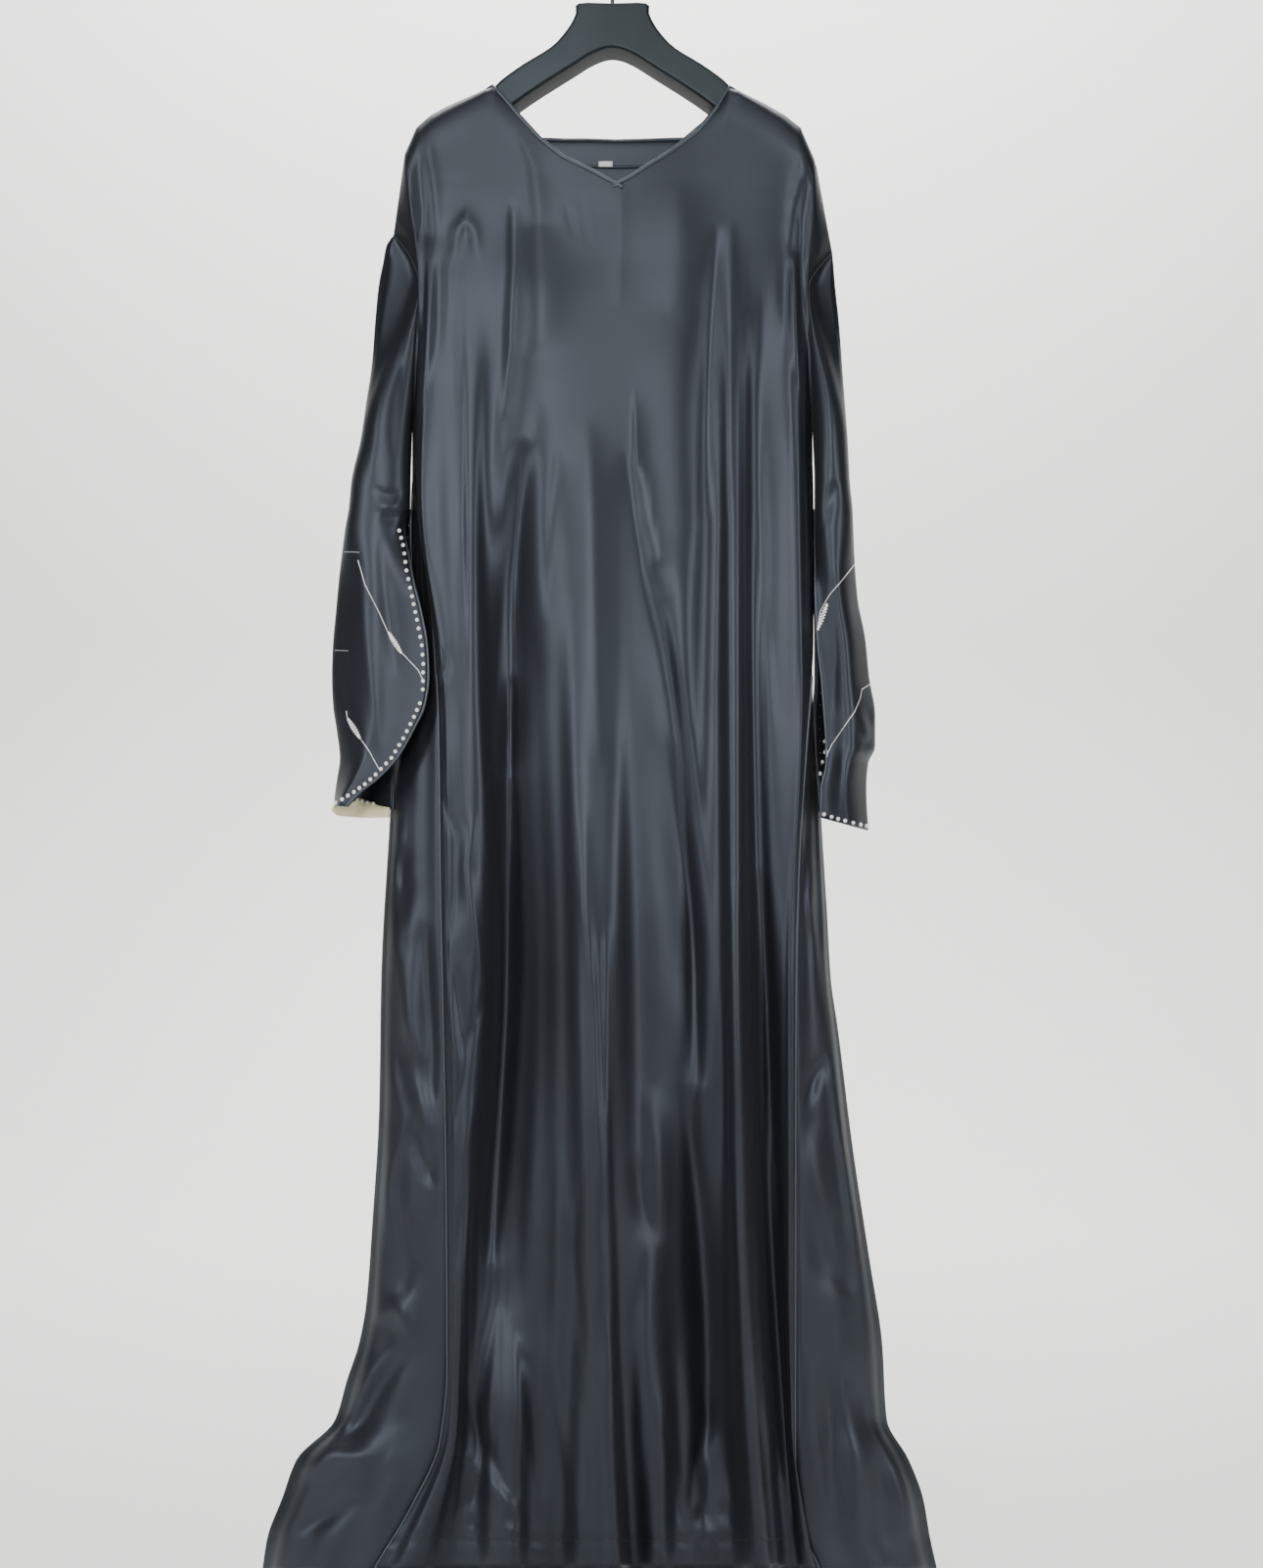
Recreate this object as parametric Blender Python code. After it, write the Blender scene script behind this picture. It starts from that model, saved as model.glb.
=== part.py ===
"""Abaya cloak on its hanger, as solids.

A closed satin abaya with a shallow V neck, dropped shoulders, tulip sleeves and
side slits hangs from a broad moulded hanger with a wire hook.

Frame: metres, +Z up, the front faces -Y and +X is on the viewer's right.
The origin is the inner top of the hook, where the rail bears.

The tables are in millimetres. x is measured from the middle of the hook, and
"down" is the distance below the origin. Both are read on the upright plane
through the hook, as the eye sees them, so a point in front of that plane is
brought back along its line of sight (see placed). "out" is the distance in
front of the plane on the front panel, and behind it on the back panel.
"""

import math

import bpy
import bmesh
from mathutils import Vector

MM = 0.001

# Driving dimensions, in millimetres
CLOTH_WALL = 2.0
SEAM_GAP = 0.3
LAID_GAP = 0.8
SLIT_GAP = 2.4
EYE_DISTANCE = 2400.0
EYE_X = 17.0
EYE_DOWN = 870.5
SHOULDER_DEPTH = 31.0
SHOULDER_ROUND = 26.0
SHOULDER_POWER = 2.6
NECK_HALF_WIDTH = 120.0
HANGING_CLEAR = 55.0
FRONT_HEM = 1668.0
BACK_HEM = 1671.0
SLIT_TOP = 760.0
SLEEVE_SLIT = 590.0

# Distance below a line's top at which its fold has its full depth, and over which the slit opens
SETTLED_BELOW = 40.0
SLIT_OPENS = 90.0
SHARP_ANGLE = 50.0

# Rows down a body panel: those beside the armhole, then those below it
ARMHOLE_ROWS = 7
ARMHOLE_EASE = 1.9
LOWER_ROWS = 19

# Levels, down from the hook, at which the fold tables give x and out
LEVELS = (370.0, 570.0, 770.0, 1070.0, 1370.0, 1520.0, 1670.0)

# Folds of the front panel: name, top x, top down, top out, x at each level, out at each level
FRONT_FOLDS = (
    ("tip_right", -215, 230, 0, (-197, -202, -178, -172, -166, -171, -233), (30, 30, 44, 56, 62, 64, 66)),
    ("side_ridge", -203, 203, 0, (-190, -197, -173, -166, -162, -166, -216), (38, 46, 52, 62, 70, 74, 80)),
    ("side_groove", -188, 190, 0, (-179, -182, -167, -156, -158, -162, -198), (32, 32, 48, 62, 72, 74, 76)),
    ("side_rib", -173, 182, 0, (-168, -168, -159, -144, -154, -157, -180), (38, 46, 54, 66, 66, 62, 60)),
    ("teardrop", -160, 176, 0, (-157, -158, -152, -134, -148, -150, -162), (30, 32, 50, 66, 56, 50, 54)),
    ("right_ridge", -146, 170, 0, (-148, -148, -144, -127, -139, -140, -144), (44, 52, 60, 58, 44, 46, 62)),
    ("right_groove", -133, 164, 0, (-120, -128, -125, -109, -125, -125, -124), (28, 28, 38, 30, 34, 62, 78)),
    ("neck_corner_right", -125, 167, 30, (-114, -120, -117, -101, -116, -116, -116), (32, 33, 34, 31, 38, 68, 82)),
    ("right_flank", -112, 180, 31, (-106, -110, -106, -92, -104, -104, -104), (36, 38, 30, 32, 44, 74, 84)),
    ("chest_side", -98, 194, 32, (-87, -91, -86, -75, -82, -82, -82), (42, 44, 32, 44, 56, 56, 66)),
    ("chest_ridge", -76, 213, 31, (-62, -66, -63, -55, -53, -56, -61), (46, 52, 48, 60, 70, 60, 56)),
    ("centre_right", -53, 230, 34, (-38, -38, -36, -31, -21, -26, -30), (42, 54, 64, 82, 94, 90, 84)),
    ("centre_ridge", -28, 242, 36, (-16, -16, -16, -17, -7, -6, 0), (38, 48, 58, 78, 90, 98, 106)),
    ("neck_point", 2, 258, 38, (6, 4, 0, -6, 6, 12, 20), (40, 48, 60, 78, 74, 64, 58)),
    ("low_ridge", 17, 250, 37, (16, 13, 17, 27, 32, 40, 46), (37, 44, 48, 48, 66, 78, 84)),
    ("drape_foot", 32, 240, 36, (28, 22, 39, 78, 72, 70, 66), (36, 39, 42, 38, 42, 52, 66)),
    ("drape_edge", 52, 228, 34, (60, 58, 62, 94, 96, 90, 86), (44, 50, 60, 62, 40, 44, 60)),
    ("left_groove", 84, 207, 31, (101, 102, 100, 105, 109, 110, 114), (28, 28, 34, 52, 44, 46, 58)),
    ("left_ridge", 104, 187, 31, (122, 122, 123, 124, 130, 140, 154), (44, 54, 64, 82, 94, 98, 100)),
    ("neck_corner_left", 117, 168, 30, (132, 133, 134, 137, 144, 153, 165), (36, 40, 47, 58, 70, 74, 80)),
    ("left_hollow", 126, 165, 0, (140, 142, 143, 149, 156, 164, 174), (28, 26, 30, 34, 44, 50, 62)),
    ("left_rib", 152, 178, 0, (162, 161, 162, 165, 166, 173, 185), (32, 42, 50, 48, 48, 50, 56)),
    ("left_nick", 172, 189, 0, (173, 174, 175, 173, 172, 177, 194), (28, 34, 42, 54, 58, 62, 70)),
    ("left_side", 190, 203, 0, (184, 187, 189, 178, 177, 180, 199), (40, 48, 54, 59, 67, 70, 76)),
    ("tip_left", 204, 235, 0, (192, 195, 195, 182, 181, 182, 203), (28, 28, 42, 56, 64, 66, 70)),
)

# Folds of the back panel between its two side lines, with the same columns
BACK_FOLDS = (
    ("back_1", -188, 190, 0, (-180, -192, -196, -212, -222, -250, -300), (36, 28, 34, 42, 46, 46, 44)),
    ("back_2", -160, 176, 0, (-164, -170, -176, -186, -196, -215, -250), (32, 38, 50, 64, 72, 76, 80)),
    ("back_3", -133, 164, 0, (-138, -144, -150, -156, -164, -176, -200), (40, 34, 38, 40, 42, 44, 46)),
    ("back_4", -121, 170, 31, (-114, -118, -122, -124, -130, -140, -156), (34, 44, 56, 76, 88, 92, 96)),
    ("back_5", -83, 205, 26, (-84, -86, -86, -84, -86, -92, -104), (42, 36, 38, 42, 44, 46, 48)),
    ("back_6", -53, 206, 27, (-52, -52, -50, -46, -46, -48, -54), (36, 46, 62, 82, 94, 98, 102)),
    ("back_7", -28, 206, 27, (-26, -24, -20, -14, -12, -10, -10), (42, 38, 42, 46, 48, 50, 52)),
    ("back_8", 0, 207, 27, (2, 6, 12, 20, 26, 30, 32), (38, 44, 56, 76, 90, 96, 100)),
    ("back_9", 37, 206, 27, (38, 42, 46, 54, 62, 70, 76), (42, 36, 38, 42, 44, 46, 48)),
    ("back_10", 72, 205, 26, (72, 76, 82, 92, 102, 112, 122), (34, 46, 60, 80, 92, 96, 100)),
    ("back_11", 112, 172, 31, (106, 110, 116, 128, 142, 152, 166), (42, 36, 38, 42, 44, 46, 48)),
    ("back_12", 126, 165, 0, (134, 140, 146, 160, 178, 190, 208), (34, 44, 54, 70, 82, 86, 90)),
    ("back_13", 152, 178, 0, (160, 170, 176, 190, 214, 228, 250), (38, 32, 36, 40, 44, 46, 48)),
    ("back_14", 176, 192, 0, (182, 190, 188, 206, 240, 256, 290), (32, 28, 28, 36, 42, 44, 44)),
)

# Armhole seams: down, x in front, out in front, x behind, out behind
ARMHOLES = {
    "right": ((310, -226, 0, -226, 0), (330, -210, 17, -215, 15), (360, -200, 25, -208, 24),
              (430, -204, 24, -206, 22), (510, -207, 6, -207, -6)),
    "left": ((328, 222, 0, 222, 0), (340, 211, 15, 214, 14), (362, 198, 25, 206, 24),
             (430, 200, 24, 204, 22), (510, 202, 6, 202, -6)),
}

# Side seams, then slit edges of the front panel: down, x, out
SLIT_EDGES = {
    "right": ((510, -207, 6), (570, -207, 10), (616, -197, 18), (670, -189, 26), (730, -184, 32),
              (810, -180, 37), (973, -178, 46), (1070, -176, 50), (1292, -172, 56), (1468, -171, 60),
              (1540, -178, 62), (1609, -208, 63), (1670, -245, 64)),
    "left": ((510, 202, 6), (570, 202, 10), (640, 203, 20), (720, 203, 30), (764, 201, 33),
             (829, 196, 38), (901, 191, 42), (977, 187, 46), (1070, 185, 50), (1479, 184, 60),
             (1565, 184, 62), (1628, 190, 63), (1670, 208, 64)),
}

# Side lines of the back panel, which are the body's outline: down, x, distance behind the plane
SIDE_LINES = {
    "right": ((203, -203, 0), (370, -192, 33), (440, -196, 28), (510, -203, 18), (570, -209, 12),
              (670, -212, 8), (770, -218, 6), (870, -228, 5), (920, -231, 4), (1070, -239, 3),
              (1200, -241, 2), (1320, -248, 1), (1400, -254, 0), (1440, -261, 0), (1480, -274, 0),
              (1520, -286, 0), (1560, -325, 0), (1600, -340, 0), (1640, -355, 0), (1671, -360, 0)),
    "left": ((205, 192, 0), (370, 186, 33), (440, 190, 28), (510, 198, 18), (570, 203, 12),
             (670, 203, 8), (764, 202, 5), (870, 205, 5), (920, 208, 4), (1000, 215, 4),
             (1070, 221, 3), (1120, 228, 2), (1240, 243, 2), (1360, 261, 1), (1440, 273, 0),
             (1520, 278, 0), (1560, 300, 0), (1600, 315, 0), (1640, 322, 0), (1671, 329, 0)),
}

# Two more lines between a slit edge and its side line: top x, top down, share of the way
WRAP_LINES = {
    "right": ((-219, 258, 0.42), (-214, 228, 0.80)),
    "left": ((214, 284, 0.42), (206, 240, 0.80)),
}

# Gaps between fold lines that are wide enough to round with two more columns
FRONT_ROUNDED = (6, 11, 12, 14, 15, 16, 18, 19)
BACK_ROUNDED = (5, 7, 9, 11, 13)
ROUNDING_STEPS = (1 / 3, 2 / 3)


def interpolate(knots, values, at):
    """Monotone cubic through (knots, values), which never overshoots a knot."""
    if at <= knots[0]:
        return values[0]
    if at >= knots[-1]:
        return values[-1]
    last = len(knots) - 1
    steps = [knots[i + 1] - knots[i] for i in range(last)]
    slopes = [(values[i + 1] - values[i]) / steps[i] for i in range(last)]

    def tangent(i):
        if i == 0:
            return slopes[0]
        if i == last:
            return slopes[-1]
        before, after = slopes[i - 1], slopes[i]
        if before * after <= 0:
            return 0.0
        w1 = 2 * steps[i] + steps[i - 1]
        w2 = steps[i] + 2 * steps[i - 1]
        return (w1 + w2) / (w1 / before + w2 / after)

    i = max(k for k in range(last) if knots[k] <= at)
    t = (at - knots[i]) / steps[i]
    return (
        values[i] * (1 + 2 * t) * (1 - t) ** 2
        + tangent(i) * steps[i] * t * (1 - t) ** 2
        + values[i + 1] * t * t * (3 - 2 * t)
        + tangent(i + 1) * steps[i] * t * t * (t - 1)
    )


def from_rows(rows, column, down):
    """One column of a table whose first column is the distance down."""
    return interpolate([row[0] for row in rows], [row[column] for row in rows], down)


def placed(x, down, y):
    """The point seen at (x, down) on the hook's plane, at the depth y (minus is in front)."""
    scale = 1 + min(y, 0.0) / EYE_DISTANCE
    return Vector((
        (EYE_X + (x - EYE_X) * scale) * MM,
        y * MM,
        -(EYE_DOWN + (down - EYE_DOWN) * scale) * MM,
    ))


def smoothstep(t):
    """Ease from 0 to 1."""
    t = min(max(t, 0.0), 1.0)
    return t * t * (3 - 2 * t)


def row_share(row):
    """Share of the way down a body panel at a row, which may be a fraction of a row."""
    side_top = ARMHOLES["right"][0][0]
    beside = (ARMHOLES["right"][-1][0] - side_top) / (FRONT_HEM - side_top)
    if row <= ARMHOLE_ROWS:
        return beside * (row / ARMHOLE_ROWS) ** ARMHOLE_EASE
    return beside + (1 - beside) * (row - ARMHOLE_ROWS) / LOWER_ROWS


def edge_down(side, row, hem):
    """Distance down of a panel's side edge at a row: the armhole, then the seam and slit."""
    top, under = ARMHOLES[side][0][0], ARMHOLES[side][-1][0]
    if row <= ARMHOLE_ROWS:
        return top + (under - top) * (row / ARMHOLE_ROWS) ** ARMHOLE_EASE
    return under + (hem - under) * (row - ARMHOLE_ROWS) / LOWER_ROWS


def edge_point(side, row, hem, behind):
    """(x, down, y) of the shared edge of the front and back panels at a row."""
    down = edge_down(side, row, hem)
    if row <= ARMHOLE_ROWS:
        x = from_rows(ARMHOLES[side], 3 if behind else 1, down)
        out = from_rows(ARMHOLES[side], 4 if behind else 2, down)
        return x, down, out if behind else -out
    return from_rows(SLIT_EDGES[side], 1, down), down, -from_rows(SLIT_EDGES[side], 2, down)


def fold_point(fold, row, hem):
    """(x, down, out) of one fold line at a row."""
    _, top_x, top_down, top_out, xs, outs = fold
    down = top_down + (hem - top_down) * row_share(row)
    drop = down - top_down
    x = interpolate((top_down,) + LEVELS, (top_x,) + xs, down)
    settled = top_down + SETTLED_BELOW
    full = interpolate((settled,) + LEVELS, (max(SHOULDER_DEPTH, top_out),) + outs, down)
    t = min(drop / SHOULDER_ROUND, 1.0)
    ramp = (1 - (1 - t) ** SHOULDER_POWER) ** (1 / SHOULDER_POWER)
    return x, down, top_out + (full - top_out) * ramp


def wrap_point(side, line, row):
    """(x, down, y) of a line where the back panel turns forward to the slit edge."""
    top_x, top_down, share = line
    hem = BACK_HEM
    side_top = SIDE_LINES[side][0]
    down = top_down + (hem - top_down) * row_share(row)
    edge_x, edge_d, edge_y = edge_point(side, row, hem, behind=True)
    if row <= 0:
        return top_x, top_down, 0.0
    side_x = from_rows(SIDE_LINES[side], 1, down)
    side_y = side_line_point(side, row)[2]
    side_down = side_top[0] + (hem - side_top[0]) * row_share(row)
    wide = abs(side_x - edge_x) / (abs(side_x - edge_x) + abs(side_y - edge_y) + 1.0)
    turn = share + (1 - math.sqrt(1 - share * share) - share) * wide
    near_top = 1 - smoothstep(row / (ARMHOLE_ROWS - 1))
    x = (edge_x + (side_x - edge_x) * share) * (1 - near_top) + top_x * near_top
    y = edge_y + (side_y - edge_y) * turn
    low = edge_d + (side_down - edge_d) * share
    return x, low * (1 - near_top) + down * near_top, y


def side_line_point(side, row):
    """(x, down, y) of the back panel's outermost line."""
    top = SIDE_LINES[side][0][0]
    down = top + (BACK_HEM - top) * row_share(row)
    x = from_rows(SIDE_LINES[side], 1, down)
    t = min((down - top) / SHOULDER_ROUND, 1.0)
    ramp = (1 - (1 - t) ** SHOULDER_POWER) ** (1 / SHOULDER_POWER)
    settled = ((top, SHOULDER_DEPTH),) + tuple((row_[0], row_[2]) for row_ in SIDE_LINES[side][1:])
    y = interpolate([k[0] for k in settled], [k[1] for k in settled], down)
    return x, down, y * ramp


def columns(count, rounded):
    """Column positions: each fold line, and two more in the gaps that are rounded."""
    result = []
    for line in range(count):
        result.append(float(line))
        if line in rounded and line < count - 1:
            result.extend(line + step for step in ROUNDING_STEPS)
    return result


def between(first, second, share):
    """A point between two fold lines, eased so that ridges and grooves are round."""
    eased = (1 - math.cos(math.pi * share)) / 2
    x = first[0] + (second[0] - first[0]) * share
    down = first[1] + (second[1] - first[1]) * share
    return x, down, first[2] + (second[2] - first[2]) * eased


BACK_LINES = len(BACK_FOLDS) + 2 * len(WRAP_LINES["right"]) + 4


def front_line(line, row):
    """(x, down, y) of line 0 to N of the front panel, from the right edge to the left one."""
    last = len(FRONT_FOLDS) + 1
    if line == 0:
        return edge_point("right", row, FRONT_HEM, behind=False)
    if line == last:
        return edge_point("left", row, FRONT_HEM, behind=False)
    _, top_x, top_down, top_out = FRONT_FOLDS[line - 1][:4]
    x, down, out = fold_point(FRONT_FOLDS[line - 1], row, FRONT_HEM)

    # Where the cloth lies over the hanger its height is the true one, not the one seen
    in_neck = smoothstep((NECK_HALF_WIDTH - abs(top_x)) / HANGING_CLEAR) if top_out else 0.0
    hanging = in_neck + (1 - in_neck) * smoothstep((down - top_down) / HANGING_CLEAR)
    down -= (1 - hanging) * (EYE_DOWN - down) * out / EYE_DISTANCE
    return x, down, -out


def back_line(line, row):
    """(x, down, y) of a line of the back panel, from the right slit edge round to the left."""
    wraps = len(WRAP_LINES["right"])
    last = BACK_LINES - 1
    if line == 0:
        return edge_point("right", row, BACK_HEM, behind=True)
    if line <= wraps:
        return wrap_point("right", WRAP_LINES["right"][line - 1], row)
    if line == wraps + 1:
        return side_line_point("right", row)
    if line == last:
        return edge_point("left", row, BACK_HEM, behind=True)
    if line >= last - wraps:
        return wrap_point("left", WRAP_LINES["left"][last - line - 1], row)
    if line == last - wraps - 1:
        return side_line_point("left", row)
    return fold_point(BACK_FOLDS[line - wraps - 2], row, BACK_HEM)


def panel_point(line_of, position, row):
    """A point of a panel at a column position and a row, in metres."""
    line = int(position)
    share = position - line
    point = line_of(line, row)
    if share > 0:
        point = between(point, line_of(line + 1, row), share)
    return placed(*point)


# Sleeve outlines, as seen from the front: down, x of the outer fold, x of the inner edge
SLEEVES = {
    "right": ((310, -226, -225), (320, -233, -218), (340, -237, -206), (360, -241, -200.5),
              (400, -245, -203), (440, -248, -205), (480, -254, -207), (520, -260, -208.5),
              (560, -269, -211.5), (590, -272, -214)),
    "left": ((328, 222, 221), (338, 223, 212), (350, 224, 204), (362, 225, 199), (400, 229, 200),
             (440, 232, 201), (480, 235, 202.5), (520, 238, 203.5), (560, 240, 206), (590, 243, 208)),
}
# Distance in front of and behind the hook's plane at the end of each sleeve's tube
SLEEVE_DEPTHS = {"right": (40.0, 24.0), "left": (46.0, 30.0)}
SLEEVE_FOLD_OUT = 6.0
# How full the tube is between its two folds, and the share of its length over which it forms
SLEEVE_FULLNESS = 0.85
SLEEVE_FORMS = 0.7

# Petals below the sleeve's slit: down, x of the outer fold, x of the free edge in front, behind
PETALS = {
    "right": ((590, -272, -214, -214), (612, -276, -217, -215), (636, -279, -211, -217),
              (662, -282, -206, -219), (695, -285, -198, -221), (729, -288, -192, -223),
              (760, -289, -190.5, -226), (788, -288, -194, -228), (817, -284, -207, -230),
              (844, -281, -223, -232), (866, -284, -244, -234), (880, -286, -262, -235),
              (905, -288, -284, -236)),
    "left": ((590, 243, 208, 208), (640, 245, 208, 207), (680, 248, 208, 207), (723, 256, 208, 207),
             (762, 260, 211, 208), (800, 266, 214, 208), (833, 266, 216, 209), (849, 259, 216, 210),
             (875, 257, 211, 211), (918, 259, 210, 212)),
}
# Hems of the petals: down at the outer fold, down at the free edge
PETAL_HEMS = {
    ("right", "front"): (893.0, 893.0),
    ("right", "back"): (894.0, 896.0),
    ("left", "front"): (918.0, 905.0),
    ("left", "back"): (911.0, 899.0),
}
# Distance in front of the plane of a petal's free edge once it hangs open, and of its middle
PETAL_OUT = {
    ("right", "front"): (47.0, 44.0),
    ("right", "back"): (2.0, -24.0),
    ("left", "front"): (34.0, 46.0),
    ("left", "back"): (-8.0, -32.0),
}
PETAL_OPENS = 90.0
PETAL_ROWS = 13
PETAL_COLUMNS = 7
SLEEVE_ROWS = 8

# Hanger, right half, from the top of its neck down to the tip and back: x, down
HANGER_X = -2.5
HANGER_DEPTH = 46.0
HANGER_ROUND = 8.0
HANGER_OUTLINE = (
    (0, 75), (36, 75), (39, 84), (43, 94), (50, 106), (62, 121), (86, 138), (104, 151), (116, 161),
    (128, 168), (140, 174), (154, 181), (165, 187), (174, 193), (184, 201), (192, 210), (195, 220),
    (191, 230), (183, 233), (170, 227), (150, 211), (120, 188), (88, 164), (42, 136), (19, 123), (0, 118),
)
HOOK_WIRE = 4.0
HOOK_RADIUS = 20.0
HOOK_STEM_GAP = 0.3
# Points up the hook's stem: x from the hanger's middle, down
HOOK_STEM = ((0.0, 64.0), (0.0, 52.0), (2.0, 43.0))
HOOK_TURN = (-62.0, 206.0)
HOOK_STEPS = 22

BINDING_WALL = 1.0
BINDING_ROWS = (0.0, 1.0)
FACING_ROWS = (0.0, 1.0, 2.0, 2.3)
LABEL_ROWS = (2.02, 2.5)
LABEL_COLUMNS = (0.44, 0.98)
LABEL_WALL = 0.6
CUFF_DOWN = (868.0, 887.0, 905.0)
CUFF_COLUMNS = (0.16, 0.92)
CUFF_STEPS = 6
CUFF_WALL = 1.0


def side_sign(side):
    """+1 on the wearer's left, which is the viewer's right."""
    return 1 if side == "left" else -1


def wall(name, outer, inward, thickness, closed=False):
    """A closed wall between a grid of outer points and the same grid moved inward.

    outer and inward are lists of columns, each a list of points from the top down.
    """
    bm = bmesh.new()
    skins = []
    for depth in (0.0, thickness * MM):
        skins.append([
            [bm.verts.new(point + way * depth) for point, way in zip(points, ways)]
            for points, ways in zip(outer, inward)
        ])
    count, rows = len(outer), len(outer[0])
    last = count if closed else count - 1
    for skin in skins:
        for i in range(last):
            first, second = skin[i], skin[(i + 1) % count]
            for j in range(rows - 1):
                bm.faces.new((first[j], second[j], second[j + 1], first[j + 1]))
    for j in (0, rows - 1):
        for i in range(last):
            k = (i + 1) % count
            bm.faces.new((skins[0][i][j], skins[0][k][j], skins[1][k][j], skins[1][i][j]))
    if not closed:
        for i in (0, count - 1):
            for j in range(rows - 1):
                bm.faces.new((skins[0][i][j], skins[0][i][j + 1], skins[1][i][j + 1], skins[1][i][j]))
    bmesh.ops.recalc_face_normals(bm, faces=bm.faces)
    mesh = bpy.data.meshes.new(name)
    bm.to_mesh(mesh)
    bm.free()
    mesh.shade_smooth()
    mesh.set_sharp_from_angle(angle=math.radians(SHARP_ANGLE))
    return bpy.data.objects.new(name, mesh)


def grid_normals(grid, sense, closed=False):
    """Unit vectors across the grid, along (columns x rows) times sense."""
    count, rows = len(grid), len(grid[0])
    result = []
    for i in range(count):
        before = (i - 1) % count if closed else max(i - 1, 0)
        after = (i + 1) % count if closed else min(i + 1, count - 1)
        ways = []
        for j in range(rows):
            along = grid[after][j] - grid[before][j]
            down = grid[i][min(j + 1, rows - 1)] - grid[i][max(j - 1, 0)]
            ways.append(along.cross(down).normalized() * sense)
        result.append(ways)
    return result


def armhole_ring(side):
    """The armhole's points from its top round the front to the top again."""
    rows = list(range(ARMHOLE_ROWS + 1)) + list(range(ARMHOLE_ROWS - 1, 0, -1))
    behind = [False] * (ARMHOLE_ROWS + 1) + [True] * (ARMHOLE_ROWS - 1)
    return [edge_point(side, row, FRONT_HEM, back) for row, back in zip(rows, behind)]


def armhole_inward(side):
    """For each armhole point, the unit vector to the inside of the arm."""
    ring = [placed(*point) for point in armhole_ring(side)]
    axis = Vector((side_sign(side), 0.0, 0.0))
    ways = []
    for i, _ in enumerate(ring):
        tangent = ring[(i + 1) % len(ring)] - ring[i - 1]
        tangent.x = 0.0
        ways.append(tangent.cross(axis).normalized() * side_sign(side) * -1)
    return ways


def seam_frame(side, row):
    """At the side seam: the way from front to back across it, and the way into the wall."""
    nearest = 1 if side == "right" else -2
    front = placed(*front_line(range(len(FRONT_FOLDS) + 2)[nearest], row))
    back = placed(*back_line(range(BACK_LINES)[nearest], row))
    across = back - front
    across.z = 0.0
    across.normalize()
    inward = Vector((-across.y, across.x, 0.0)) * side_sign(side)
    return across, inward


def body_panel(name, line_of, count, rounded, behind):
    """The front or back panel, from its fold lines."""
    hem_rows = ARMHOLE_ROWS + LOWER_ROWS
    places = columns(count, rounded)
    outer = [[panel_point(line_of, at, row) for row in range(hem_rows + 1)] for at in places]
    inward = grid_normals(outer, -1 if behind else 1)

    # Shoulder seams lie on the hook's plane, and their rims run straight down
    seam_y = SEAM_GAP / 2 * MM * (1 if behind else -1)
    for i, at in enumerate(places):
        if abs(outer[i][0].y) < SEAM_GAP * MM:
            outer[i][0].y = seam_y
            beside = outer[min(i + 1, len(outer) - 1)][0] - outer[max(i - 1, 0)][0]
            way = Vector((beside.z, 0.0, -beside.x)).normalized()
            inward[i][0] = way if way.z < 0 else -way

    # Armholes, side seams and slits share their rims with the piece across the gap
    for side, i in (("right", 0), ("left", len(outer) - 1)):
        ways = armhole_inward(side)
        apart = 1 if behind else -1
        for row in range(hem_rows + 1):
            if row < ARMHOLE_ROWS:
                inward[i][row] = ways[-row if behind else row]
                outer[i][row].x -= side_sign(side) * SEAM_GAP / 2 * MM
                continue
            across, inward[i][row] = seam_frame(side, row)
            opened = smoothstep((edge_down(side, row, FRONT_HEM) - SLIT_TOP) / SLIT_OPENS)
            gap = SEAM_GAP + (SLIT_GAP - SEAM_GAP) * opened
            outer[i][row] += across * apart * gap / 2 * MM
    return wall(name, outer, inward, CLOTH_WALL)


def sleeve_point(side, turn, along):
    """(x, down, y) on a sleeve's tube; turn runs 0 to 1 from the outer fold round the front."""
    half = 2 * turn if turn <= 0.5 else 2 * (1 - turn)
    behind = turn > 0.5
    arm_x, arm_down, arm_y = edge_point(side, ARMHOLE_ROWS * half, FRONT_HEM, behind)
    down = arm_down + (SLEEVE_SLIT - arm_down) * along
    rows = SLEEVES[side]
    arm_outer, arm_inner = from_rows(rows, 1, arm_down), from_rows(rows, 2, arm_down)
    start = (arm_x - arm_outer) / (arm_inner - arm_outer)
    share = (1 - math.cos(math.pi * half)) / 2
    eased = smoothstep(along / SLEEVE_FORMS)
    share = start + (share - start) * eased
    outer, inner = from_rows(rows, 1, down), from_rows(rows, 2, down)
    x = outer + (inner - outer) * share
    front, back = SLEEVE_DEPTHS[side]
    fold = -SLEEVE_FOLD_OUT
    reach = back - fold if behind else -front - fold
    tube_y = fold + reach * math.sin(math.pi * half) ** SLEEVE_FULLNESS
    return x, down, arm_y + (tube_y - arm_y) * eased


def sleeve(side):
    """The upper sleeve, a tube from the armhole to the top of its slit."""
    count = 2 * ARMHOLE_ROWS
    outer = []
    for i in range(count):
        outer.append([
            placed(*sleeve_point(side, i / count, row / SLEEVE_ROWS)) for row in range(SLEEVE_ROWS + 1)
        ])
        outer[-1][0].x += side_sign(side) * SEAM_GAP * MM
    inward = grid_normals(outer, -side_sign(side), closed=True)
    for i, way in enumerate(armhole_inward(side)):
        inward[i][0] = way
        level = inward[i][-1]
        inward[i][-1] = Vector((level.x, level.y, 0.0)).normalized()
    return wall(f"{side}_sleeve", outer, inward, CLOTH_WALL, closed=True)


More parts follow.
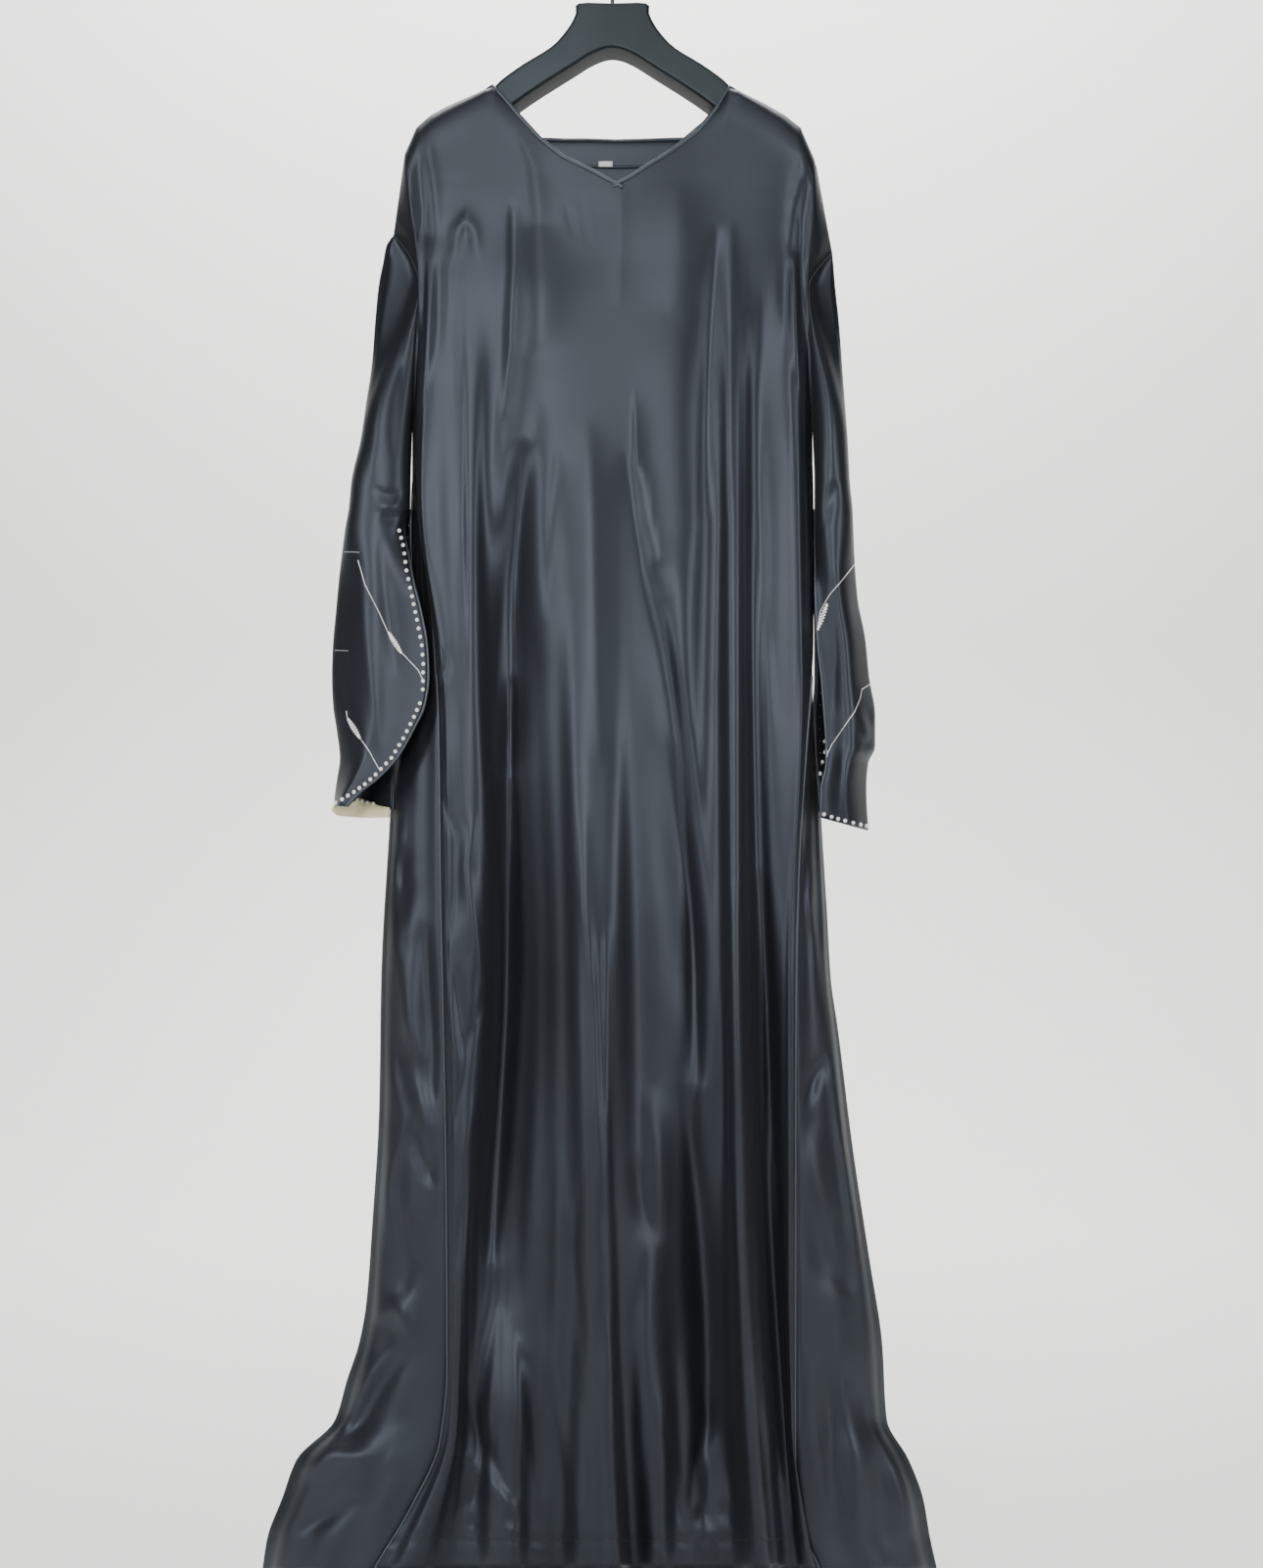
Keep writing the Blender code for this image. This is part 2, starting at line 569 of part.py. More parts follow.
def petal_point(side, which, share, down):
    """(x, down, y) on a petal; share runs 0 to 1 from the outer fold to the free edge."""
    rows = PETALS[side]
    outer = from_rows(rows, 1, down)
    free = from_rows(rows, 2 if which == "front" else 3, down)
    opened = smoothstep((down - SLEEVE_SLIT) / PETAL_OPENS)
    tube_share = (1 - math.cos(math.pi * share)) / 2
    across = tube_share + (share - tube_share) * opened
    front, back = SLEEVE_DEPTHS[side]
    fold = -SLEEVE_FOLD_OUT
    reach = -front if which == "front" else back
    tube_y = fold + (reach - fold) * math.sin(math.pi * share) ** SLEEVE_FULLNESS
    edge_out, middle_out = PETAL_OUT[(side, which)]
    middle_y = -middle_out
    rise = math.sin(math.pi * min(share, 0.5))
    open_y = fold + (middle_y - fold) * rise
    if share > 0.5:
        open_y = middle_y + (-edge_out - middle_y) * smoothstep(2 * share - 1)
    return outer + (free - outer) * across, down, tube_y + (open_y - tube_y) * opened


def petal_grid(side, which):
    """Outer points of a petal, a list of columns."""
    at_fold, at_edge = PETAL_HEMS[(side, which)]
    top = SLEEVE_SLIT + SEAM_GAP
    seam_y = SEAM_GAP / 2 * MM * (-1 if which == "front" else 1)
    grid = []
    for i in range(PETAL_COLUMNS + 1):
        share = i / PETAL_COLUMNS
        hem = at_fold + (at_edge - at_fold) * share
        points = [
            placed(*petal_point(side, which, share, top + (hem - top) * row / PETAL_ROWS))
            for row in range(PETAL_ROWS + 1)
        ]
        if i == 0:
            for point in points:
                point.y += seam_y
        if i == PETAL_COLUMNS:
            points[0].y += seam_y
        grid.append(points)
    return grid


def petal_inward(side, which, grid):
    """Ways into a petal's wall, shared with the sleeve above and the other petal."""
    sense = -side_sign(side) * (1 if which == "front" else -1)
    inward = grid_normals(grid, sense)
    across = Vector((-side_sign(side), 0.0, 0.0))
    inward[0] = [across.copy() for _ in grid[0]]
    inward[-1][0] = -across
    for ways in inward:
        ways[0] = Vector((ways[0].x, ways[0].y, 0.0)).normalized()
    return inward


def petal(side, which):
    """One of the two overlapping petals below a sleeve's slit."""
    grid = petal_grid(side, which)
    return wall(f"{side}_{which}_petal", grid, petal_inward(side, which, grid), CLOTH_WALL)


def lifted(line_of, places, rows, sense, lift):
    """Panel points at the given columns and rows, moved out of the wall by lift."""
    grid = [[panel_point(line_of, at, row) for row in rows] for at in places]
    inward = grid_normals(grid, sense)
    raised = [
        [point - way * lift * MM for point, way in zip(points, ways)]
        for points, ways in zip(grid, inward)
    ]
    return raised, inward


def line_number(folds, name, before):
    """Number of a fold line in its panel, counting the lines before the table's first."""
    return before + next(i for i, fold in enumerate(folds) if fold[0] == name)


def spread(first, last, count):
    """count evenly spaced values from first to last."""
    return [first + (last - first) * i / (count - 1) for i in range(count)]


def neck_places(folds, names, before, rounded, inset):
    """The panel's own column positions along the neck edge, ending inset from the corners."""
    first = line_number(folds, names[0], before) + inset
    last = line_number(folds, names[1], before) - inset
    inner = [at for at in columns(len(folds) + before, rounded) if first < at < last]
    return [first] + inner + [last]


FRONT_NECK = ("neck_corner_right", "neck_corner_left")
BACK_NECK = ("back_4", "back_11")
BACK_FACING = ("back_5", "back_10")
BACK_BEFORE = 4


def front_binding():
    """Bias binding round the front of the neck, on the panel's outer face."""
    places = neck_places(FRONT_FOLDS, FRONT_NECK, 1, FRONT_ROUNDED, 0.0)
    raised, inward = lifted(front_line, places, BINDING_ROWS, 1, LAID_GAP + BINDING_WALL)
    return wall("front_neck_binding", raised, inward, BINDING_WALL)


def back_binding():
    """Bias binding along the back of the neck, on the panel's outer face."""
    places = neck_places(BACK_FOLDS, BACK_NECK, BACK_BEFORE, BACK_ROUNDED, 0.0)
    raised, inward = lifted(back_line, places, BINDING_ROWS, -1, LAID_GAP + BINDING_WALL)
    return wall("back_neck_binding", raised, inward, BINDING_WALL)


def back_facing():
    """Facing inside the back of the neck, seen through the neck opening."""
    places = neck_places(BACK_FOLDS, BACK_FACING, BACK_BEFORE, BACK_ROUNDED, 0.0)
    raised, inward = lifted(back_line, places, FACING_ROWS, -1, -(CLOTH_WALL + LAID_GAP))
    return wall("back_neck_facing", raised, inward, BINDING_WALL)


def size_label():
    """Small woven label, left bare, sewn over the facing's lower edge."""
    first = line_number(BACK_FOLDS, "back_7", BACK_BEFORE)
    places = [first + share for share in LABEL_COLUMNS]
    depth = CLOTH_WALL + 2 * LAID_GAP + BINDING_WALL
    raised, inward = lifted(back_line, places, LABEL_ROWS, -1, -depth)
    return wall("size_label", raised, inward, LABEL_WALL)


def cuff_facing():
    """Pale facing inside the right cuff, which shows below the petals' hems."""
    places = spread(*CUFF_COLUMNS, CUFF_STEPS)
    grid = [[placed(*petal_point("right", "back", share, down)) for down in CUFF_DOWN] for share in places]
    inward = grid_normals(grid, -1)
    depth = CLOTH_WALL + LAID_GAP
    inner = [
        [point + way * depth * MM for point, way in zip(points, ways)]
        for points, ways in zip(grid, inward)
    ]
    return wall("right_cuff_facing", inner, inward, CUFF_WALL)


def hanger_place(x, down):
    """Where a point of the hanger's outline lies, as seen on its front face."""
    return placed(x + HANGER_X, down, -HANGER_DEPTH / 2 + HANGER_ROUND / 2)


def hanger_body():
    """Broad moulded hanger: a flat outline given its depth, with rounded edges."""
    curve = bpy.data.curves.new("hanger_body", "CURVE")
    curve.dimensions = "2D"
    curve.fill_mode = "BOTH"
    curve.extrude = (HANGER_DEPTH / 2 - HANGER_ROUND) * MM
    curve.bevel_depth = HANGER_ROUND * MM
    curve.bevel_resolution = 1
    curve.offset = -HANGER_ROUND * MM
    left = list(HANGER_OUTLINE)
    right = [(-x, down) for x, down in reversed(HANGER_OUTLINE[1:-1])]
    outline = left + right
    spline = curve.splines.new("POLY")
    spline.points.add(len(outline) - 1)
    for point, (x, down) in zip(spline.points, outline):
        seen = hanger_place(x, down)
        point.co = (seen.x, seen.z, 0.0, 1.0)
    spline.use_cyclic_u = True
    upright = bpy.data.objects.new("hanger_body", curve)
    upright.rotation_euler = (math.radians(90), 0.0, 0.0)
    return upright


def hanger_hook():
    """Wire hook: a straight stem, then most of a turn round the rail."""
    curve = bpy.data.curves.new("hanger_hook", "CURVE")
    curve.dimensions = "3D"
    curve.bevel_depth = HOOK_WIRE / 2 * MM
    curve.bevel_resolution = 2
    curve.use_fill_caps = True
    centre_down = HOOK_RADIUS - HOOK_WIRE / 2
    first, last = (math.radians(angle) for angle in HOOK_TURN)
    neck_top = hanger_place(*HANGER_OUTLINE[0])
    route = [(HANGER_X, -neck_top.z / MM - HOOK_STEM_GAP)]
    route.extend((HANGER_X + x, down) for x, down in HOOK_STEM)
    for step in range(HOOK_STEPS + 1):
        angle = first + (last - first) * step / HOOK_STEPS
        route.append((HOOK_RADIUS * math.cos(angle), centre_down - HOOK_RADIUS * math.sin(angle)))
    spline = curve.splines.new("POLY")
    spline.points.add(len(route) - 1)
    for point, (x, down) in zip(spline.points, route):
        point.co = (x * MM, 0.0, -down * MM, 1.0)
    return bpy.data.objects.new("hanger_hook", curve)


def material(name, colour, roughness, metallic=0.0):
    """A Principled material of one colour."""
    result = bpy.data.materials.new(name)
    result.use_nodes = True
    shader = result.node_tree.nodes["Principled BSDF"]
    shader.inputs["Base Color"].default_value = (*colour, 1.0)
    shader.inputs["Roughness"].default_value = roughness
    shader.inputs["Metallic"].default_value = metallic
    return result


def main():
    """Clear the scene's objects, then make and dress each piece."""
    for old in list(bpy.data.objects):
        bpy.data.objects.remove(old)
    satin = material("charcoal_satin", (0.030, 0.036, 0.042), 0.38)
    bias = material("charcoal_binding", (0.024, 0.028, 0.034), 0.45)
    cream = material("cream_satin", (0.78, 0.72, 0.52), 0.45)
    woven = material("white_woven_label", (0.80, 0.80, 0.78), 0.7)
    plastic = material("black_plastic", (0.020, 0.022, 0.026), 0.35)
    steel = material("hook_steel", (0.62, 0.62, 0.64), 0.25, 1.0)

    pieces = [
        (body_panel("front_panel", front_line, len(FRONT_FOLDS) + 2, FRONT_ROUNDED, False), satin),
        (body_panel("back_panel", back_line, BACK_LINES, BACK_ROUNDED, True), satin),
        (front_binding(), bias),
        (back_binding(), bias),
        (back_facing(), satin),
        (size_label(), woven),
        (cuff_facing(), cream),
        (hanger_body(), plastic),
        (hanger_hook(), steel),
    ]
    for side in ("right", "left"):
        pieces.append((sleeve(side), satin))
        pieces.extend((petal(side, which), satin) for which in ("front", "back"))

    collection = bpy.data.collections.new("abaya_on_hanger")
    bpy.context.scene.collection.children.link(collection)
    for piece, finish in pieces:
        collection.objects.link(piece)
        piece.data.materials.append(finish)


main()
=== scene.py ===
"""Looks of a charcoal satin abaya that hangs from a broad moulded hanger.

The cloth is rebuilt as fine grids on fold lines close to those of its solids,
then creased from short tables. Beads, braid, bindings and stitching are laid
on it along the eye's lines of sight.

Frame: metres, +Z up, the front faces -Y and +X is on the viewer's right. The
origin is the inner top of the hook. The tables are in millimetres: x from the
middle of the hook, "down" below the origin, both read on the plane of the hook
as the eye sees them, and "out" in front of that plane, or behind it at the back.
"""

from __future__ import annotations

import logging
import math
from dataclasses import dataclass
from enum import Enum
from typing import Callable, Sequence

import bmesh
import bpy
import numpy as np
from mathutils import Matrix, Vector
from mathutils.bvhtree import BVHTree

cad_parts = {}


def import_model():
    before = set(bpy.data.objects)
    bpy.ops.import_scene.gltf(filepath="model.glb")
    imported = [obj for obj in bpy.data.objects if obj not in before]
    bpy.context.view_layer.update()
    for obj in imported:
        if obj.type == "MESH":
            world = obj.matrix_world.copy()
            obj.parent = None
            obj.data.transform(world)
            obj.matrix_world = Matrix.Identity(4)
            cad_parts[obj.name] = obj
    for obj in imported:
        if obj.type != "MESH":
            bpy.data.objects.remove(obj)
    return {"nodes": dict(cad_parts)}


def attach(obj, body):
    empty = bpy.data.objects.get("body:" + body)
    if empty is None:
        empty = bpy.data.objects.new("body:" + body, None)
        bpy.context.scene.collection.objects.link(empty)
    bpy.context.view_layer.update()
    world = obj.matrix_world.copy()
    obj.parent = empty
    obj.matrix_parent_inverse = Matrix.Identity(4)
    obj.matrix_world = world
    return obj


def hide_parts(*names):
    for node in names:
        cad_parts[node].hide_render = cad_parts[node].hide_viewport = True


LOG = logging.getLogger("abaya")

MM = 0.001

Array = np.ndarray
Line = tuple[tuple[float, float], ...]

# The way the garment's front faces
FORWARD = Vector((0.0, -1.0, 0.0))

# Where the eye stands, and the heights between which the photograph is framed
EYE_DISTANCE = 2400.0
EYE_X = 17.0
EYE_DOWN = 870.5
FRAME_HEIGHT = 1601.0
SENSOR_HEIGHT = 24.0
CLIP_END = 50.0

# Cloth: its thickness, its turn over the shoulders, its hems and slits, and the coarse rows
SHELL_WALL = 1.2
SHOULDER_DEPTH = 31.0
SHOULDER_ROUND = 26.0
SHOULDER_POWER = 2.6
NECK_HALF_WIDTH = 120.0
HANGING_CLEAR = 55.0
SETTLED_BELOW = 40.0
FRONT_HEM = 1672.0
BACK_HEM = 1674.5
SLIT_TOP = 760.0
SLEEVE_SLIT = 590.0
ARMHOLE_ROWS = 7
ARMHOLE_EASE = 1.9
LOWER_ROWS = 19

# Levels, down from the hook, at which the fold tables give x and out
LEVELS = (370.0, 570.0, 770.0, 1070.0, 1370.0, 1520.0, 1670.0)

# Folds of the front panel: name, top x, top down, top out, x at each level, out at each level
FRONT_FOLDS = (
    ("tip_right", -215, 230, 0, (-197, -202, -178, -172, -166, -171, -233), (30, 30, 44, 56, 62, 64, 66)),
    ("side_ridge", -203, 203, 0, (-190, -197, -173, -166, -162, -166, -216), (38, 46, 52, 62, 70, 74, 80)),
    ("side_groove", -188, 190, 0, (-179, -182, -167, -156, -158, -162, -198), (32, 32, 48, 62, 72, 74, 76)),
    ("side_rib", -173, 182, 0, (-168, -168, -159, -144, -154, -157, -180), (38, 46, 54, 66, 66, 62, 60)),
    ("teardrop", -160, 176, 0, (-157, -158, -152, -134, -148, -150, -162), (30, 32, 50, 66, 56, 50, 54)),
    ("right_ridge", -146, 170, 0, (-148, -148, -144, -127, -139, -140, -144), (44, 52, 60, 58, 44, 46, 62)),
    ("right_groove", -133, 164, 0, (-120, -128, -125, -109, -125, -125, -124), (28, 28, 38, 30, 34, 62, 78)),
    ("neck_corner_right", -125, 167, 30, (-114, -120, -117, -101, -116, -116, -116),
     (34, 35, 34, 31, 38, 68, 82)),
    ("right_flank", -112, 180, 31, (-106, -110, -106, -92, -104, -104, -104), (40, 41, 32, 32, 44, 74, 84)),
    ("chest_side", -98, 194, 32, (-87, -91, -86, -75, -82, -82, -82), (42.5, 46, 36, 44, 56, 56, 66)),
    ("chest_ridge", -76, 213, 31, (-62, -66, -63, -55, -53, -56, -61), (43, 48.5, 48, 60, 70, 60, 56)),
    ("centre_right", -53, 230, 34, (-38, -38, -36, -31, -21, -26, -30), (41, 50, 64, 82, 94, 90, 84)),
    ("centre_ridge", -28, 242, 36, (-16, -16, -16, -17, -7, -6, 0), (40, 49, 59, 78, 90, 98, 106)),
    ("neck_point", 2, 258, 38, (6, 4, 0, -6, 6, 12, 20), (40, 48, 60, 77, 74, 64, 58)),
    ("low_ridge", 17, 250, 37, (16, 13, 17, 27, 32, 40, 46), (39.5, 46.5, 52, 50, 66, 78, 84)),
    ("drape_foot", 32, 240, 36, (28, 24, 39, 78, 72, 70, 66), (39.5, 45, 46, 38, 42, 52, 66)),
    ("drape_edge", 52, 228, 34, (84, 78, 66, 94, 96, 90, 86), (40, 47, 57, 60, 40, 44, 60)),
    ("left_groove", 84, 207, 31, (101, 102, 100, 105, 109, 110, 114), (28, 28, 34, 52, 44, 46, 58)),
    ("left_ridge", 104, 187, 31, (122, 122, 123, 124, 130, 140, 154), (44, 54, 64, 82, 94, 98, 100)),
    ("neck_corner_left", 117, 168, 30, (132, 133, 134, 137, 144, 153, 165), (36, 40, 47, 58, 70, 74, 80)),
    ("left_hollow", 126, 165, 0, (140, 142, 143, 149, 156, 164, 174), (28, 26, 30, 34, 44, 50, 62)),
    ("left_rib", 152, 178, 0, (162, 161, 162, 165, 166, 173, 185), (32, 42, 50, 48, 48, 50, 56)),
    ("left_nick", 172, 189, 0, (173, 174, 175, 173, 172, 177, 194), (28, 34, 42, 54, 58, 62, 70)),
    ("left_side", 190, 203, 0, (184, 187, 189, 178, 177, 180, 199), (40, 48, 54, 59, 67, 70, 76)),
    ("tip_left", 204, 235, 0, (192, 195, 195, 182, 181, 182, 203), (28, 28, 42, 56, 64, 66, 70)),
)

# Folds of the back panel between its two side lines, with the same columns
BACK_FOLDS = (
    ("back_1", -188, 190, 0, (-180, -192, -196, -212, -222, -250, -300), (36, 28, 34, 42, 46, 46, 44)),
    ("back_2", -160, 176, 0, (-164, -170, -176, -186, -196, -215, -250), (32, 38, 50, 64, 72, 76, 80)),
    ("back_3", -133, 164, 0, (-138, -144, -150, -156, -164, -176, -200), (40, 34, 38, 40, 42, 44, 46)),
    ("back_4", -121, 170, 31, (-114, -118, -122, -124, -130, -140, -156), (34, 44, 56, 76, 88, 92, 96)),
    ("back_5", -83, 205, 26, (-84, -86, -86, -84, -86, -92, -104), (42, 36, 38, 42, 44, 46, 48)),
    ("back_6", -53, 206, 27, (-52, -52, -50, -46, -46, -48, -54), (36, 46, 62, 82, 94, 98, 102)),
    ("back_7", -28, 206, 27, (-26, -24, -20, -14, -12, -10, -10), (42, 38, 42, 46, 48, 50, 52)),
    ("back_8", 0, 207, 27, (2, 6, 12, 20, 26, 30, 32), (38, 44, 56, 76, 90, 96, 100)),
    ("back_9", 37, 206, 27, (38, 42, 46, 54, 62, 70, 76), (42, 36, 38, 42, 44, 46, 48)),
    ("back_10", 72, 205, 26, (72, 76, 82, 92, 102, 112, 122), (34, 46, 60, 80, 92, 96, 100)),
    ("back_11", 112, 172, 31, (106, 110, 116, 128, 142, 152, 166), (42, 36, 38, 42, 44, 46, 48)),
    ("back_12", 126, 165, 0, (134, 140, 146, 160, 178, 190, 208), (34, 44, 54, 70, 82, 86, 90)),
    ("back_13", 152, 178, 0, (160, 170, 176, 190, 214, 228, 250), (38, 32, 36, 40, 44, 46, 48)),
    ("back_14", 176, 192, 0, (182, 190, 188, 206, 240, 256, 290), (32, 28, 28, 36, 42, 44, 44)),
)

# Armhole seams: down, x in front, out in front, x behind, out behind
ARMHOLES = {
    "right": ((310, -226, 0, -226, 0), (330, -210, 17, -215, 15), (360, -200, 25, -208, 24),
              (430, -204, 24, -206, 22), (510, -207, 6, -207, -6)),
    "left": ((328, 222, 0, 222, 0), (340, 211, 15, 214, 14), (362, 198, 25, 206, 24),
             (430, 200, 24, 204, 22), (510, 202, 6, 202, -6)),
}

# Side seams, then slit edges of the front panel: down, x, out
SLIT_EDGES = {
    "right": ((510, -207, 6), (570, -207, 10), (616, -197, 18), (670, -189, 26), (730, -184, 32),
              (810, -180, 37), (973, -178, 46), (1070, -176, 50), (1292, -172, 56), (1468, -171, 60),
              (1540, -178, 62), (1609, -208, 63), (1670, -245, 64)),
    "left": ((510, 202, 6), (570, 202, 10), (640, 203, 20), (720, 203, 30), (764, 201, 33),
             (829, 196, 38), (901, 191, 42), (977, 187, 46), (1070, 185, 50), (1479, 184, 60),
             (1565, 184, 62), (1628, 190, 63), (1670, 208, 64)),
}

# Side lines of the back panel, which are the body's outline: down, x, distance behind the plane
SIDE_LINES = {
    "right": ((203, -203, 0), (370, -192, 33), (440, -196, 28), (510, -203, 18), (570, -209, 12),
              (670, -212, 8), (770, -218, 6), (870, -228, 5), (920, -231, 4), (1070, -239, 3),
              (1200, -241, 2), (1320, -248, 1), (1400, -254, 0), (1440, -261, 0), (1480, -274, 0),
              (1520, -286, 0), (1560, -325, 0), (1600, -340, 0), (1640, -355, 0), (1671, -360, 0)),
    "left": ((205, 192, 0), (370, 186, 33), (440, 190, 28), (510, 198, 18), (570, 203, 12),
             (670, 203, 8), (764, 202, 5), (810, 204, 5), (870, 209, 5), (920, 212, 4), (1000, 217, 4),
             (1070, 221, 3), (1120, 228, 2), (1240, 243, 2), (1360, 261, 1), (1440, 273, 0),
             (1520, 278, 0), (1560, 300, 0), (1600, 315, 0), (1640, 322, 0), (1671, 329, 0)),
}

# Two more lines between a slit edge and its side line: top x, top down, share of the way
WRAP_LINES = {
    "right": ((-219, 258, 0.42), (-214, 228, 0.80)),
    "left": ((214, 284, 0.42), (206, 240, 0.80)),
}

# Sleeve outlines, as seen from the front: down, x of the outer fold, x of the inner edge
SLEEVES = {
    "right": ((310, -226, -225), (320, -233, -218), (340, -237, -206), (360, -241, -200.5),
              (400, -245, -203), (440, -248, -205), (480, -254, -207), (520, -260, -208.5),
              (560, -269, -208.5), (590, -272, -209)),
    "left": ((328, 222, 221), (338, 223, 212), (350, 224, 204), (362, 225, 199), (400, 229, 200),
             (440, 232, 201), (480, 235, 202.5), (520, 238, 203.5), (560, 240, 204), (590, 243, 204)),
}
# Distance in front of and behind the hook's plane at the end of each sleeve's tube
SLEEVE_DEPTHS = {"right": (40.0, 24.0), "left": (46.0, 30.0)}
SLEEVE_FOLD_OUT = 6.0
# How full the tube is between its two folds, and the share of its length over which it forms
SLEEVE_FULLNESS = 0.6
SLEEVE_FORMS = 0.7

# Petals below the sleeve's slit: down, x of the outer fold, x of the free edge in front, behind
PETALS = {
    "right": ((590, -272, -211, -209), (612, -276, -215, -208.5), (636, -279, -211, -209),
              (662, -282, -206, -212), (695, -285, -198, -216), (729, -288, -192, -220),
              (760, -289, -190.5, -226), (788, -288, -194, -228), (817, -284, -207, -226.5),
              (844, -281, -223, -226.5), (866, -284, -244, -226.5), (880, -286, -262, -226.5),
              (905, -288, -284, -226.5)),
    "left": ((590, 243, 204, 204), (640, 245, 204.5, 204), (680, 248, 205, 204), (723, 256, 207, 205),
             (762, 260, 211, 205), (800, 266, 214, 203), (833, 266, 216, 203.5), (849, 259, 216, 205),
             (875, 257, 211, 208), (918, 259, 210, 211)),
}
# Hems of the petals: down at the outer fold, down at the free edge
PETAL_HEMS = {
    ("right", "front"): (893.0, 893.0),
    ("right", "back"): (893.0, 896.5),
    ("left", "front"): (918.0, 905.0),
    ("left", "back"): (911.0, 899.0),
}
# Distance in front of the plane of a petal's free edge once it hangs open, and of its middle
PETAL_OUT = {
    ("right", "front"): (47.0, 44.0),
    ("right", "back"): (2.0, -24.0),
    ("left", "front"): (34.0, 46.0),
    ("left", "back"): (4.0, -30.0),
}
PETAL_OPENS = 90.0

# Hanger, right half, from the top of its neck down to the tip and back: x, down
HANGER_X = -2.5
HANGER_DEPTH = 46.0
HANGER_ROUND = 3.0
HANGER_OUTLINE = (
    (0, 73), (34.5, 73), (37.5, 83), (42, 93), (50, 104.5), (64, 118.5), (91, 135), (112, 150), (121, 159),
    (130, 168), (141, 174), (154, 181), (165, 187), (174, 193), (184, 201), (192, 210), (195, 220),
    (191, 230), (183, 233), (170, 228), (149, 213), (118, 190), (86, 166), (42, 138), (19, 124), (0, 118.5),
)
HOOK_WIRE = 4.0
HOOK_RADIUS = 20.0
HOOK_STEM_GAP = 0.3
# Points up the hook's stem: x from the hanger's middle, down
HOOK_STEM = ((0.0, 64.0), (0.0, 52.0), (2.0, 43.0))
HOOK_TURN = (-62.0, 206.0)
HOOK_STEPS = 22


class Side(Enum):
    """The wearer's right is on the viewer's left, at minus x."""

    RIGHT = "right"
    LEFT = "left"


def monotone(knots: Sequence[float], values: Sequence[float], at: Array) -> Array:
    """Monotone cubic through the knots, held level beyond them.

    Args:
        knots: Rising knot positions.
        values: Value at each knot.
        at: Where the curve is read.

    Returns:
        The curve's value at each position.
    """
    knots, values = np.asarray(knots, float), np.asarray(values, float)
    steps = np.diff(knots)
    slopes = np.diff(values) / steps
    before, after = slopes[:-1], slopes[1:]
    w1, w2 = 2 * steps[1:] + steps[:-1], steps[1:] + 2 * steps[:-1]
    same = before * after > 0
    mean = (w1 + w2) / (w1 / np.where(same, before, 1.0) + w2 / np.where(same, after, 1.0))
    tangents = np.concatenate(([slopes[0]], np.where(same, mean, 0.0), [slopes[-1]]))
    at = np.clip(at, knots[0], knots[-1])
    i = np.clip(np.searchsorted(knots, at, side="right") - 1, 0, len(steps) - 1)
    t = (at - knots[i]) / steps[i]
    return (
        values[i] * (1 + 2 * t) * (1 - t) ** 2
        + tangents[i] * steps[i] * t * (1 - t) ** 2
        + values[i + 1] * t * t * (3 - 2 * t)
        + tangents[i + 1] * steps[i] * t * t * (t - 1)
    )


def column_of(rows: Sequence[Sequence[float]], column: int, down: Array) -> Array:
    """Reads one column of a table whose first column is the distance down."""
    return monotone([row[0] for row in rows], [row[column] for row in rows], down)


def ease(t: Array) -> Array:
    """Eases from 0 to 1 as t does."""
    t = np.clip(t, 0.0, 1.0)
    return t * t * (3 - 2 * t)


def placed(seen: Array) -> Array:
    """Turns (x, down, y) as seen from the eye into points in metres."""
    x, down, y = seen[..., 0], seen[..., 1], seen[..., 2]
    scale = 1 + np.minimum(y, 0.0) / EYE_DISTANCE
    return np.stack(
        (EYE_X + (x - EYE_X) * scale, y, -(EYE_DOWN + (down - EYE_DOWN) * scale)), axis=-1
    ) * MM


def stacked(x: Array, down: Array, y: Array) -> Array:
    """Joins three arrays, or numbers, into rows of (x, down, y)."""
    return np.stack(np.broadcast_arrays(x, down, y), axis=-1).astype(float)


